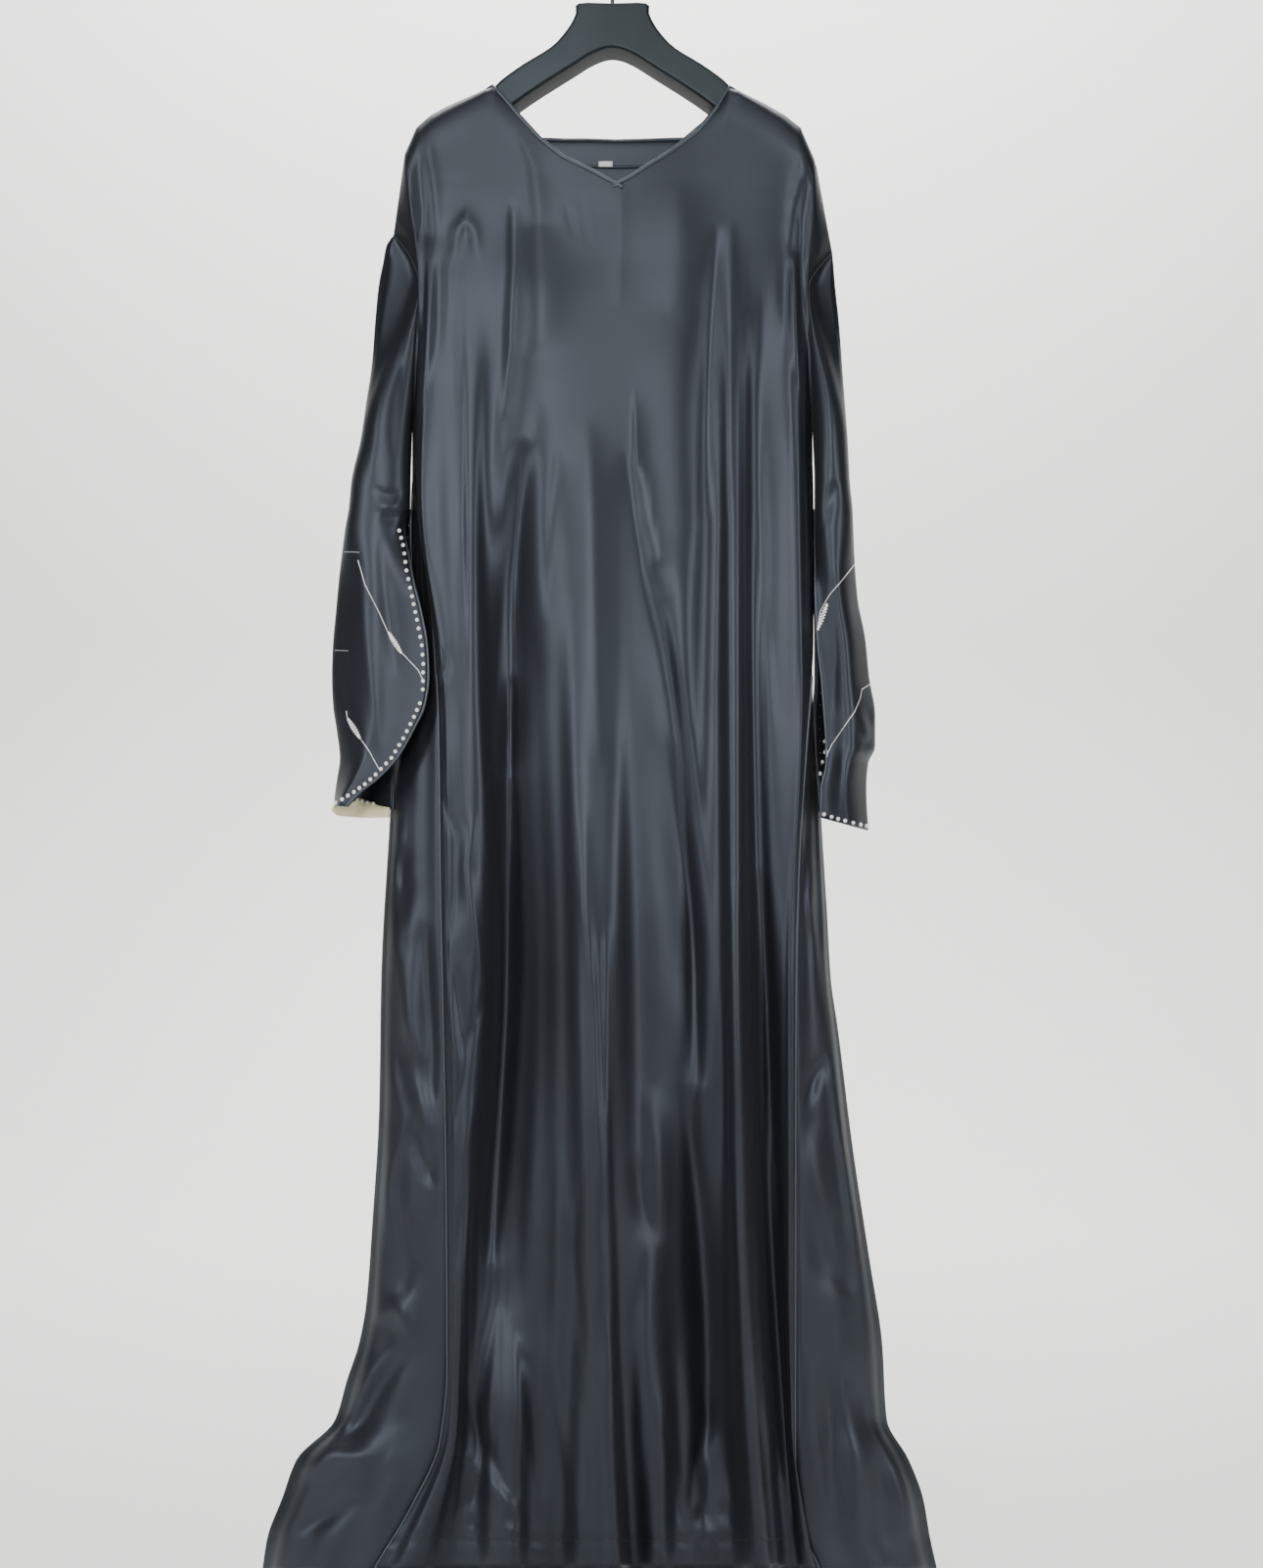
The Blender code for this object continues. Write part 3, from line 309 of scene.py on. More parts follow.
class Body:
    """The fold lines of the body, read at any row down the panels."""

    def __init__(self) -> None:
        self.front_last = len(FRONT_FOLDS) + 1
        self.wraps = len(WRAP_LINES["right"])
        self.back_last = len(BACK_FOLDS) + 2 * self.wraps + 3

    @staticmethod
    def row_share(row: Array) -> Array:
        """Share of the way down a panel at each row."""
        top = ARMHOLES["right"][0][0]
        beside = (ARMHOLES["right"][-1][0] - top) / (FRONT_HEM - top)
        upper = beside * (np.minimum(row, ARMHOLE_ROWS) / ARMHOLE_ROWS) ** ARMHOLE_EASE
        lower = (1 - beside) * np.maximum(row - ARMHOLE_ROWS, 0.0) / LOWER_ROWS
        return upper + lower

    @staticmethod
    def edge(side: Side, row: Array, hem: float, behind: bool) -> Array:
        """The shared edge of the two panels: armhole, side seam, then slit edge."""
        rows = ARMHOLES[side.value]
        top, under = rows[0][0], rows[-1][0]
        upper = top + (under - top) * (np.minimum(row, ARMHOLE_ROWS) / ARMHOLE_ROWS) ** ARMHOLE_EASE
        down = upper + (hem - under) * np.maximum(row - ARMHOLE_ROWS, 0.0) / LOWER_ROWS
        beside = row <= ARMHOLE_ROWS
        arm_x = column_of(rows, 3 if behind else 1, down)
        arm_out = column_of(rows, 4 if behind else 2, down)
        slit = SLIT_EDGES[side.value]
        x = np.where(beside, arm_x, column_of(slit, 1, down))
        y = np.where(beside, arm_out if behind else -arm_out, -column_of(slit, 2, down))
        return stacked(x, down, y)

    @classmethod
    def fold(cls, fold: tuple, row: Array, hem: float) -> Array:
        """One fold line of a table: (x, down, out)."""
        _, top_x, top_down, top_out, xs, outs = fold
        down = top_down + (hem - top_down) * cls.row_share(row)
        x = monotone((top_down,) + LEVELS, (top_x,) + xs, down)
        settled, start = top_down + SETTLED_BELOW, max(SHOULDER_DEPTH, top_out)
        begun = start + (outs[0] - start) * FOLD_BEGUN
        knots = (settled, (settled + LEVELS[0]) / 2) + LEVELS
        full = monotone(knots, (start, begun) + outs, down)
        return stacked(x, down, top_out + (full - top_out) * cls.ramp(down - top_down))

    @staticmethod
    def ramp(drop: Array) -> Array:
        """How far the cloth has turned over the shoulder, a drop below it."""
        t = np.clip(drop / SHOULDER_ROUND, 0.0, 1.0)
        return (1 - (1 - t) ** SHOULDER_POWER) ** (1 / SHOULDER_POWER)

    @classmethod
    def side_line(cls, side: Side, row: Array) -> Array:
        """The back panel's outermost line."""
        rows = SIDE_LINES[side.value]
        top = rows[0][0]
        down = top + (BACK_HEM - top) * cls.row_share(row)
        depths = [SHOULDER_DEPTH] + [entry[2] for entry in rows[1:]]
        y = monotone([entry[0] for entry in rows], depths, down)
        return stacked(column_of(rows, 1, down), down, y * cls.ramp(down - top))

    @classmethod
    def wrap(cls, side: Side, line: tuple, row: Array) -> Array:
        """A line where the back panel turns forward to the slit edge."""
        top_x, top_down, share = line
        edge = cls.edge(side, row, BACK_HEM, behind=True)
        outer = cls.side_line(side, row)
        down = top_down + (BACK_HEM - top_down) * cls.row_share(row)
        side_x = column_of(SIDE_LINES[side.value], 1, down)
        across, deep = np.abs(side_x - edge[:, 0]), np.abs(outer[:, 2] - edge[:, 2])
        turn = share + (1 - math.sqrt(1 - share * share) - share) * across / (across + deep + 1.0)
        near = 1 - ease(row / (ARMHOLE_ROWS - 1))
        x = (edge[:, 0] + (side_x - edge[:, 0]) * share) * (1 - near) + top_x * near
        y = edge[:, 2] + (outer[:, 2] - edge[:, 2]) * turn
        low = edge[:, 1] + (outer[:, 1] - edge[:, 1]) * share
        return stacked(x, low * (1 - near) + down * near, np.where(row <= 0, 0.0, y))

    def front_line(self, line: int, row: Array) -> Array:
        """Line 0 to N of the front panel, from the wearer's right edge to the left one."""
        if line in (0, self.front_last):
            side = Side.RIGHT if line == 0 else Side.LEFT
            return self.edge(side, row, FRONT_HEM, behind=False)
        fold = FRONT_FOLDS[line - 1]
        _, top_x, top_down, top_out = fold[:4]
        points = self.fold(fold, row, FRONT_HEM)
        down, out = points[:, 1], points[:, 2]

        # Over the hanger the cloth's height is the true one, not the one seen
        neck = float(ease(np.array((NECK_HALF_WIDTH - abs(top_x)) / HANGING_CLEAR))) if top_out else 0.0
        hanging = neck + (1 - neck) * ease((down - top_down) / HANGING_CLEAR)
        lifted = down - (1 - hanging) * (EYE_DOWN - down) * out / EYE_DISTANCE
        return stacked(points[:, 0], lifted, -out)

    def back_line(self, line: int, row: Array) -> Array:
        """Line 0 to N of the back panel, from one slit edge round the back to the other."""
        last, wraps = self.back_last, self.wraps
        if line in (0, last):
            return self.edge(Side.RIGHT if line == 0 else Side.LEFT, row, BACK_HEM, behind=True)
        if line <= wraps:
            return self.wrap(Side.RIGHT, WRAP_LINES["right"][line - 1], row)
        if line >= last - wraps:
            return self.wrap(Side.LEFT, WRAP_LINES["left"][last - line - 1], row)
        if line in (wraps + 1, last - wraps - 1):
            return self.side_line(Side.RIGHT if line == wraps + 1 else Side.LEFT, row)
        return self.fold(BACK_FOLDS[line - wraps - 2], row, BACK_HEM)


@dataclass(frozen=True)
class Crease:
    """A soft trough or ridge drawn across the cloth.

    Attributes:
        name: What it is.
        width: Half width at its middle, in millimetres.
        depth: Height out of the cloth, in millimetres; minus is a trough.
        lean: Share by which the side at greater x is softer than the other.
        points: (x, down) along it, as seen.
    """

    name: str
    width: float
    depth: float
    lean: float
    points: Line

    def height(self, x: Array, down: Array) -> Array:
        """Height of the crease at each place on the cloth."""
        best = np.full(x.shape, np.inf)
        along = np.zeros(x.shape)
        side = np.ones(x.shape)
        legs = list(zip(self.points, self.points[1:]))
        for number, ((ax, ad), (bx, bd)) in enumerate(legs):
            dx, dd = bx - ax, bd - ad
            t = np.clip(((x - ax) * dx + (down - ad) * dd) / (dx * dx + dd * dd), 0.0, 1.0)
            away = np.hypot(x - ax - t * dx, down - ad - t * dd)
            closer = away < best
            best = np.where(closer, away, best)
            along = np.where(closer, (number + t) / len(legs), along)
            side = np.where(closer, np.sign(x - ax - t * dx), side)
        taper = np.sin(math.pi * np.clip(along, 0.0, 1.0)) ** CREASE_TAPER
        width = self.width * (CREASE_NARROW + (1 - CREASE_NARROW) * taper) * (1 + self.lean * side)
        return self.depth * taper * np.exp(-((best / width) ** CREASE_POWER))


@dataclass
class Surface:
    """A grid of cloth points, as seen, with columns across and rows down."""

    seen: Array
    lines: tuple[int, ...] = ()

    def creased(self, creases: Sequence[Crease], outward: float, first: int, last: int) -> None:
        """Adds creases to a range of columns, fading them out at its two ends.

        Args:
            creases: The creases to add.
            outward: Sign of y on the side that these columns show.
            first: First column of the range.
            last: Last column of the range.
        """
        number = np.arange(first, last + 1)
        from_end = np.minimum(number - first, last - number)
        weight = np.clip((from_end + 0.5) / CREASE_FADE, 0.0, 1.0)[:, None]
        x, down = self.seen[first:last + 1, :, 0], self.seen[first:last + 1, :, 1]
        for crease in creases:
            self.seen[first:last + 1, :, 2] += outward * weight * crease.height(x, down)

    def softened(self) -> None:
        """Rounds the folds across the cloth, by row at the top and by height below it."""
        x, down, y = self.seen[..., 0], self.seen[..., 1], self.seen[..., 2]
        levels = np.linspace(down.min(), down.max(), SOFT_LEVELS)
        by_row = self.rounded(x, y, down.mean(axis=0))
        level_x, level_y = (np.stack([np.interp(levels, down[c], values[c]) for c in range(len(x))])
                            for values in (x, y))
        by_level = self.rounded(level_x, level_y, levels)
        read = np.stack([np.interp(down[c], levels, by_level[c]) for c in range(len(x))])
        settled = np.clip((down - down[:, :1] - SOFT_BELOW) / SOFT_BLEND, 0.0, 1.0)
        self.seen[..., 2] = by_row * (1 - settled) + read * settled

    @staticmethod
    def rounded(x: Array, y: Array, down: Array) -> Array:
        """Smooths y along each row, over the reach that the table gives at its height."""
        result = y.copy()
        steps = np.hypot(np.diff(x, axis=0), np.diff(y, axis=0))
        along = np.concatenate((np.zeros((1, x.shape[1])), np.cumsum(steps, axis=0)))
        share = np.gradient(along, axis=0)
        for row in range(x.shape[1]):
            place = along[:, row]
            reach = float(column_of(FOLD_ROUNDING, 1, down[row]))
            weight = np.exp(-((place[:, None] - place[None, :]) / reach) ** 2 / 2) * share[:, row][None, :]
            smooth = (weight @ y[:, row]) / weight.sum(axis=1)
            near_end = np.minimum(place, place[-1] - place) / (2 * reach)
            mixed = np.clip(near_end, 0.0, 1.0)
            result[:, row] = y[:, row] * (1 - mixed) + smooth * mixed
        return result

    def hemmed(self, outward: float, first: int, last: int) -> list[Vector]:
        """Presses the stitch line of the turned hem into the cloth, with uneven puckers.

        Args:
            outward: Sign of y on the side that shows.
            first: First column of the hem.
            last: Last column of the hem.

        Returns:
            Points along the stitch line, in metres.
        """
        down = self.seen[first:last + 1, :, 1]
        row = int(np.argmin(np.abs(down - (down[:, -1:] - HEM_TURN)).mean(axis=0)))
        x = self.seen[first:last + 1, row, 0]
        wave = np.sin(x * 2 * math.pi / PUCKER_PITCH + PUCKER_WANDER * np.sin(x / WANDER_LENGTH))
        self.seen[first:last + 1, row, 2] -= outward * (HEM_PRESS + HEM_WAVE * wave)
        for near, share in ((-2, 0.5), (-1, 0.9), (1, 0.9), (2, 0.5)):
            self.seen[first:last + 1, row + near, 2] += outward * HEM_SWELL * share * (1 + wave)
        return [Vector(point) for point in placed(self.seen[first:last + 1, row])]

    def places(self, column: int, rows: slice = slice(None)) -> list[Vector]:
        """Points of one column, in metres."""
        return [Vector(point) for point in placed(self.seen[column, rows])]


def between_lines(lines: Sequence[Array], steps: Sequence[int]) -> Array:
    """Fills the gaps between fold lines with columns, eased so that the folds are round."""
    columns = []
    for first, second, count in zip(lines, lines[1:], steps):
        for k in range(count):
            share = k / count
            eased = (1 - math.cos(math.pi * share)) / 2
            column = first + (second - first) * share
            column[:, 2] = first[:, 2] + (second[:, 2] - first[:, 2]) * eased
            columns.append(column)
    columns.append(lines[-1])
    return np.stack(columns)


class Sleeve:
    """One sleeve: a tube from the armhole, open below its slit as two petals."""

    def __init__(self, side: Side) -> None:
        self.side = side
        self.front, self.back = SLEEVE_DEPTHS[side.value]
        self.fold = -SLEEVE_FOLD_OUT

    def tube(self, half: float, behind: bool, along: Array) -> Array:
        """A column of the closed tube; half runs 0 to 1 from the outer fold to the inner."""
        arm = Body.edge(self.side, np.array([ARMHOLE_ROWS * half]), FRONT_HEM, behind)[0]
        down = arm[1] + (SLEEVE_SLIT - arm[1]) * along
        rows = SLEEVES[self.side.value]
        arm_outer, arm_inner = (float(column_of(rows, k, arm[1])) for k in (1, 2))
        start = (arm[0] - arm_outer) / (arm_inner - arm_outer)
        forms = ease(along / SLEEVE_FORMS)
        share = start + ((1 - math.cos(math.pi * half)) / 2 - start) * forms
        outer, inner = column_of(rows, 1, down), column_of(rows, 2, down)
        reach = self.back - self.fold if behind else -self.front - self.fold
        tube_y = self.fold + reach * abs(math.sin(math.pi * half)) ** SLEEVE_FULLNESS
        return stacked(outer + (inner - outer) * share, down, arm[2] + (tube_y - arm[2]) * forms)

    def petal(self, share: float, behind: bool, along: Array) -> Array:
        """A column of a petal; share runs 0 to 1 from the outer fold to the free edge."""
        which = "back" if behind else "front"
        at_fold, at_edge = PETAL_HEMS[(self.side.value, which)]
        hem = at_fold + (at_edge - at_fold) * share
        down = SLEEVE_SLIT + (hem - SLEEVE_SLIT) * along
        rows = PETALS[self.side.value]
        outer, free = column_of(rows, 1, down), column_of(rows, 3 if behind else 2, down)
        opened = ease((down - SLEEVE_SLIT) / PETAL_OPENS)
        tube_share = (1 - math.cos(math.pi * share)) / 2
        across = tube_share + (share - tube_share) * opened
        reach = self.back if behind else -self.front
        tube_y = self.fold + (reach - self.fold) * abs(math.sin(math.pi * share)) ** SLEEVE_FULLNESS
        edge_out, middle_out = PETAL_OUT[(self.side.value, which)]
        open_y = self.fold + (-middle_out - self.fold) * math.sin(math.pi * min(share, 0.5))
        if share > 0.5:
            open_y = -middle_out + (middle_out - edge_out) * float(ease(np.array(2 * share - 1)))
        return stacked(outer + (free - outer) * across, down, tube_y + (open_y - tube_y) * opened)

    def column(self, turn: float) -> Array:
        """One column from the armhole to the hem; turn runs -1 to 1, minus in front."""
        behind = turn > 0
        above = self.tube(abs(turn), behind, np.linspace(0.0, 1.0, SLEEVE_UPPER_ROWS + 1))
        below = self.petal(abs(turn), behind, np.linspace(0.0, 1.0, SLEEVE_LOWER_ROWS + 1))
        return np.concatenate((above, below[1:]))

    def surface(self) -> Surface:
        """The whole sleeve, from the front petal's free edge round to the back one's."""
        turns = np.linspace(-1.0, 1.0, 2 * SLEEVE_HALF_COLUMNS + 1)
        return Surface(np.stack([self.column(float(turn)) for turn in turns]))


@dataclass(frozen=True)
class Finish:
    """What a surface is made of.

    Attributes:
        name: The material's common name.
        colour: Base colour as an sRGB hex value.
        roughness: Principled roughness.
        metallic: Principled metallic.
        sheen: Sheen weight, for nap or fine fibres.
        coat: Coat weight.
        ior: Index of refraction.
        grain: Size of the surface's fine grain in millimetres; 0 has none.
        relief: Height of that grain in millimetres.
        mottle: How far the colour wanders, as a share.
        edge: How far the reflection grows towards grazing views, 0 to 1.
    """

    name: str
    colour: str
    roughness: float
    metallic: float = 0.0
    sheen: float = 0.0
    coat: float = 0.0
    ior: float = 1.5
    grain: float = 0.0
    relief: float = 0.0
    mottle: float = 0.0
    edge: float = 1.0


def linear(colour: str) -> tuple[float, float, float, float]:
    """Turns an sRGB hex value into linear light."""
    parts = [int(colour.lstrip("#")[i:i + 2], 16) / 255 for i in (0, 2, 4)]
    light = [c / 12.92 if c <= 0.04045 else ((c + 0.055) / 1.055) ** 2.4 for c in parts]
    return (*light, 1.0)


class Shader:
    """Builds one node material from a finish."""

    def __init__(self, finish: Finish) -> None:
        self.finish = finish
        self.material = bpy.data.materials.new(finish.name)
        self.material.use_nodes = True
        self.tree = self.material.node_tree
        self.principled = self.tree.nodes["Principled BSDF"]

    def add(self, kind: str, **inputs: object) -> bpy.types.Node:
        """Adds a node and sets or links its inputs by name."""
        node = self.tree.nodes.new(kind)
        for name, value in inputs.items():
            socket = node.inputs[name.replace("_", " ")]
            if isinstance(value, bpy.types.NodeSocket):
                self.tree.links.new(value, socket)
            else:
                socket.default_value = value
        return node

    def build(self) -> bpy.types.Material:
        """Sets the shader's sockets, its mottle and its grain."""
        finish, sockets = self.finish, self.principled.inputs
        sockets["Base Color"].default_value = linear(finish.colour)
        sockets["Roughness"].default_value = finish.roughness
        sockets["Metallic"].default_value = finish.metallic
        sockets["Sheen Weight"].default_value = finish.sheen
        sockets["Coat Weight"].default_value = finish.coat
        sockets["IOR"].default_value = finish.ior
        sockets["Specular Tint"].default_value = (finish.edge, finish.edge, finish.edge, 1.0)
        place = self.add("ShaderNodeTexCoord").outputs["Object"]
        if finish.mottle:
            self.mottle(place)
        if finish.grain:
            grain = self.add("ShaderNodeTexNoise", Vector=place, Scale=1 / (finish.grain * MM), Detail=2.0)
            bump = self.add("ShaderNodeBump", Height=grain.outputs["Fac"], Distance=finish.relief * MM)
            bump.inputs["Strength"].default_value = 1.0
            self.tree.links.new(bump.outputs["Normal"], sockets["Normal"])
        return self.material

    def mottle(self, place: bpy.types.NodeSocket) -> None:
        """Lets the colour wander between a darker and a lighter shade of itself."""
        base = linear(self.finish.colour)[:3]
        noise = self.add("ShaderNodeTexNoise", Vector=place, Scale=MOTTLE_PER_METRE, Detail=3.0)
        ramp = self.add("ShaderNodeValToRGB", Fac=noise.outputs["Fac"])
        for element, share in zip(ramp.color_ramp.elements, (1 - self.finish.mottle, 1 + self.finish.mottle)):
            element.color = (*(min(c * share, 1.0) for c in base), 1.0)
        ramp.color_ramp.elements[0].position, ramp.color_ramp.elements[1].position = MOTTLE_BAND
        self.tree.links.new(ramp.outputs["Color"], self.principled.inputs["Base Color"])


def linked(name: str, data: bpy.types.ID) -> bpy.types.Object:
    """Makes an object of some data and puts it in the scene."""
    piece = bpy.data.objects.new(name, data)
    bpy.context.scene.collection.objects.link(piece)
    return piece


def mesh_of(name: str, bm: bmesh.types.BMesh) -> bpy.types.Mesh:
    """Turns an edit mesh into a mesh with smooth faces, and frees it."""
    for face in bm.faces:
        face.smooth = True
    mesh = bpy.data.meshes.new(name)
    bm.to_mesh(mesh)
    bm.free()
    return mesh


def grid_object(name: str, points: Array, outward: Vector, judged: int = 0) -> bpy.types.Object:
    """Makes a sheet from a grid of points in metres, columns across and rows down.

    Args:
        name: The piece's name.
        points: An array (columns, rows, 3).
        outward: A way that the sheet faces.
        judged: How many columns to judge that by; 0 takes them all.

    Returns:
        The piece, with a UV map in metres along its edges.
    """
    columns, rows = points.shape[:2]
    bm = bmesh.new()
    bmesh.ops.create_grid(bm, x_segments=columns - 1, y_segments=rows - 1, size=0.5)
    flat = points.transpose(1, 0, 2).reshape(-1, 3)
    for vert, point in zip(bm.verts, flat):
        vert.co = point
    bm.normal_update()
    bm.faces.ensure_lookup_table()
    facing = sum(face.normal.dot(outward) for face in bm.faces
                 if not judged or face.verts[0].index % columns < judged)
    if facing < 0:
        bmesh.ops.reverse_faces(bm, faces=bm.faces)
    across = np.zeros((columns, rows))
    across[1:] = np.cumsum(np.linalg.norm(np.diff(points, axis=0), axis=2).mean(axis=1))[:, None]
    along = np.zeros((columns, rows))
    along[:, 1:] = np.cumsum(np.linalg.norm(np.diff(points, axis=1), axis=2), axis=1)
    chart = np.stack((across, along), axis=2).transpose(1, 0, 2).reshape(-1, 2)
    layer = bm.loops.layers.uv.new("cut")
    for face in bm.faces:
        for loop in face.loops:
            loop[layer].uv = chart[loop.vert.index]
    return linked(name, mesh_of(name, bm))


def thicken(piece: bpy.types.Object, wall: float) -> None:
    """Gives a sheet its thickness, inward from its outer face."""
    solid = piece.modifiers.new("cloth_thickness", "SOLIDIFY")
    solid.thickness = wall * MM
    solid.offset = -1.0
    solid.use_even_offset = False


def tube_object(name: str, runs: Sequence[Sequence[Vector]], radius: float,
                resolution: int = 3) -> bpy.types.Object:
    """Makes one or more round cords through the points given."""
    curve = bpy.data.curves.new(name, "CURVE")
    curve.dimensions = "3D"
    curve.bevel_depth = radius * MM
    curve.bevel_resolution = resolution
    curve.use_fill_caps = True
    for run in runs:
        spline = curve.splines.new("POLY")
        spline.points.add(len(run) - 1)
        for point, place in zip(spline.points, run):
            point.co = (*place, 1.0)
        spline.use_smooth = True
    return linked(name, curve)


class Sight:
    """Finds where a line of sight first meets a piece."""

    EYE = Vector((EYE_X * MM, -EYE_DISTANCE * MM, -EYE_DOWN * MM))

    def __init__(self, piece: bpy.types.Object) -> None:
        bm = bmesh.new()
        bm.from_mesh(piece.data)
        self.tree = BVHTree.FromBMesh(bm)
        bm.free()

    def hit(self, x: float, down: float, lift: float = 0.0) -> Vector | None:
        """The point of the piece seen at (x, down), raised by lift in millimetres."""
        way = (Vector((x * MM, 0.0, -down * MM)) - self.EYE).normalized()
        place, normal, _, _ = self.tree.ray_cast(self.EYE, way)
        if place is None:
            return None
        if normal.dot(way) > 0:
            normal = -normal
        return place + normal * lift * MM

    def run(self, points: Sequence[tuple[float, float]], lift: float, pitch: float) -> list[Vector]:
        """Points along a drawn line, about a pitch apart, as they lie on the piece."""
        places = []
        for (ax, ad), (bx, bd) in zip(points, points[1:]):
            count = max(1, round(math.hypot(bx - ax, bd - ad) / pitch))
            for k in range(count + (1 if (bx, bd) == tuple(points[-1]) else 0)):
                place = self.hit(ax + (bx - ax) * k / count, ad + (bd - ad) * k / count, lift)
                if place is not None:
                    places.append(place)
        return places


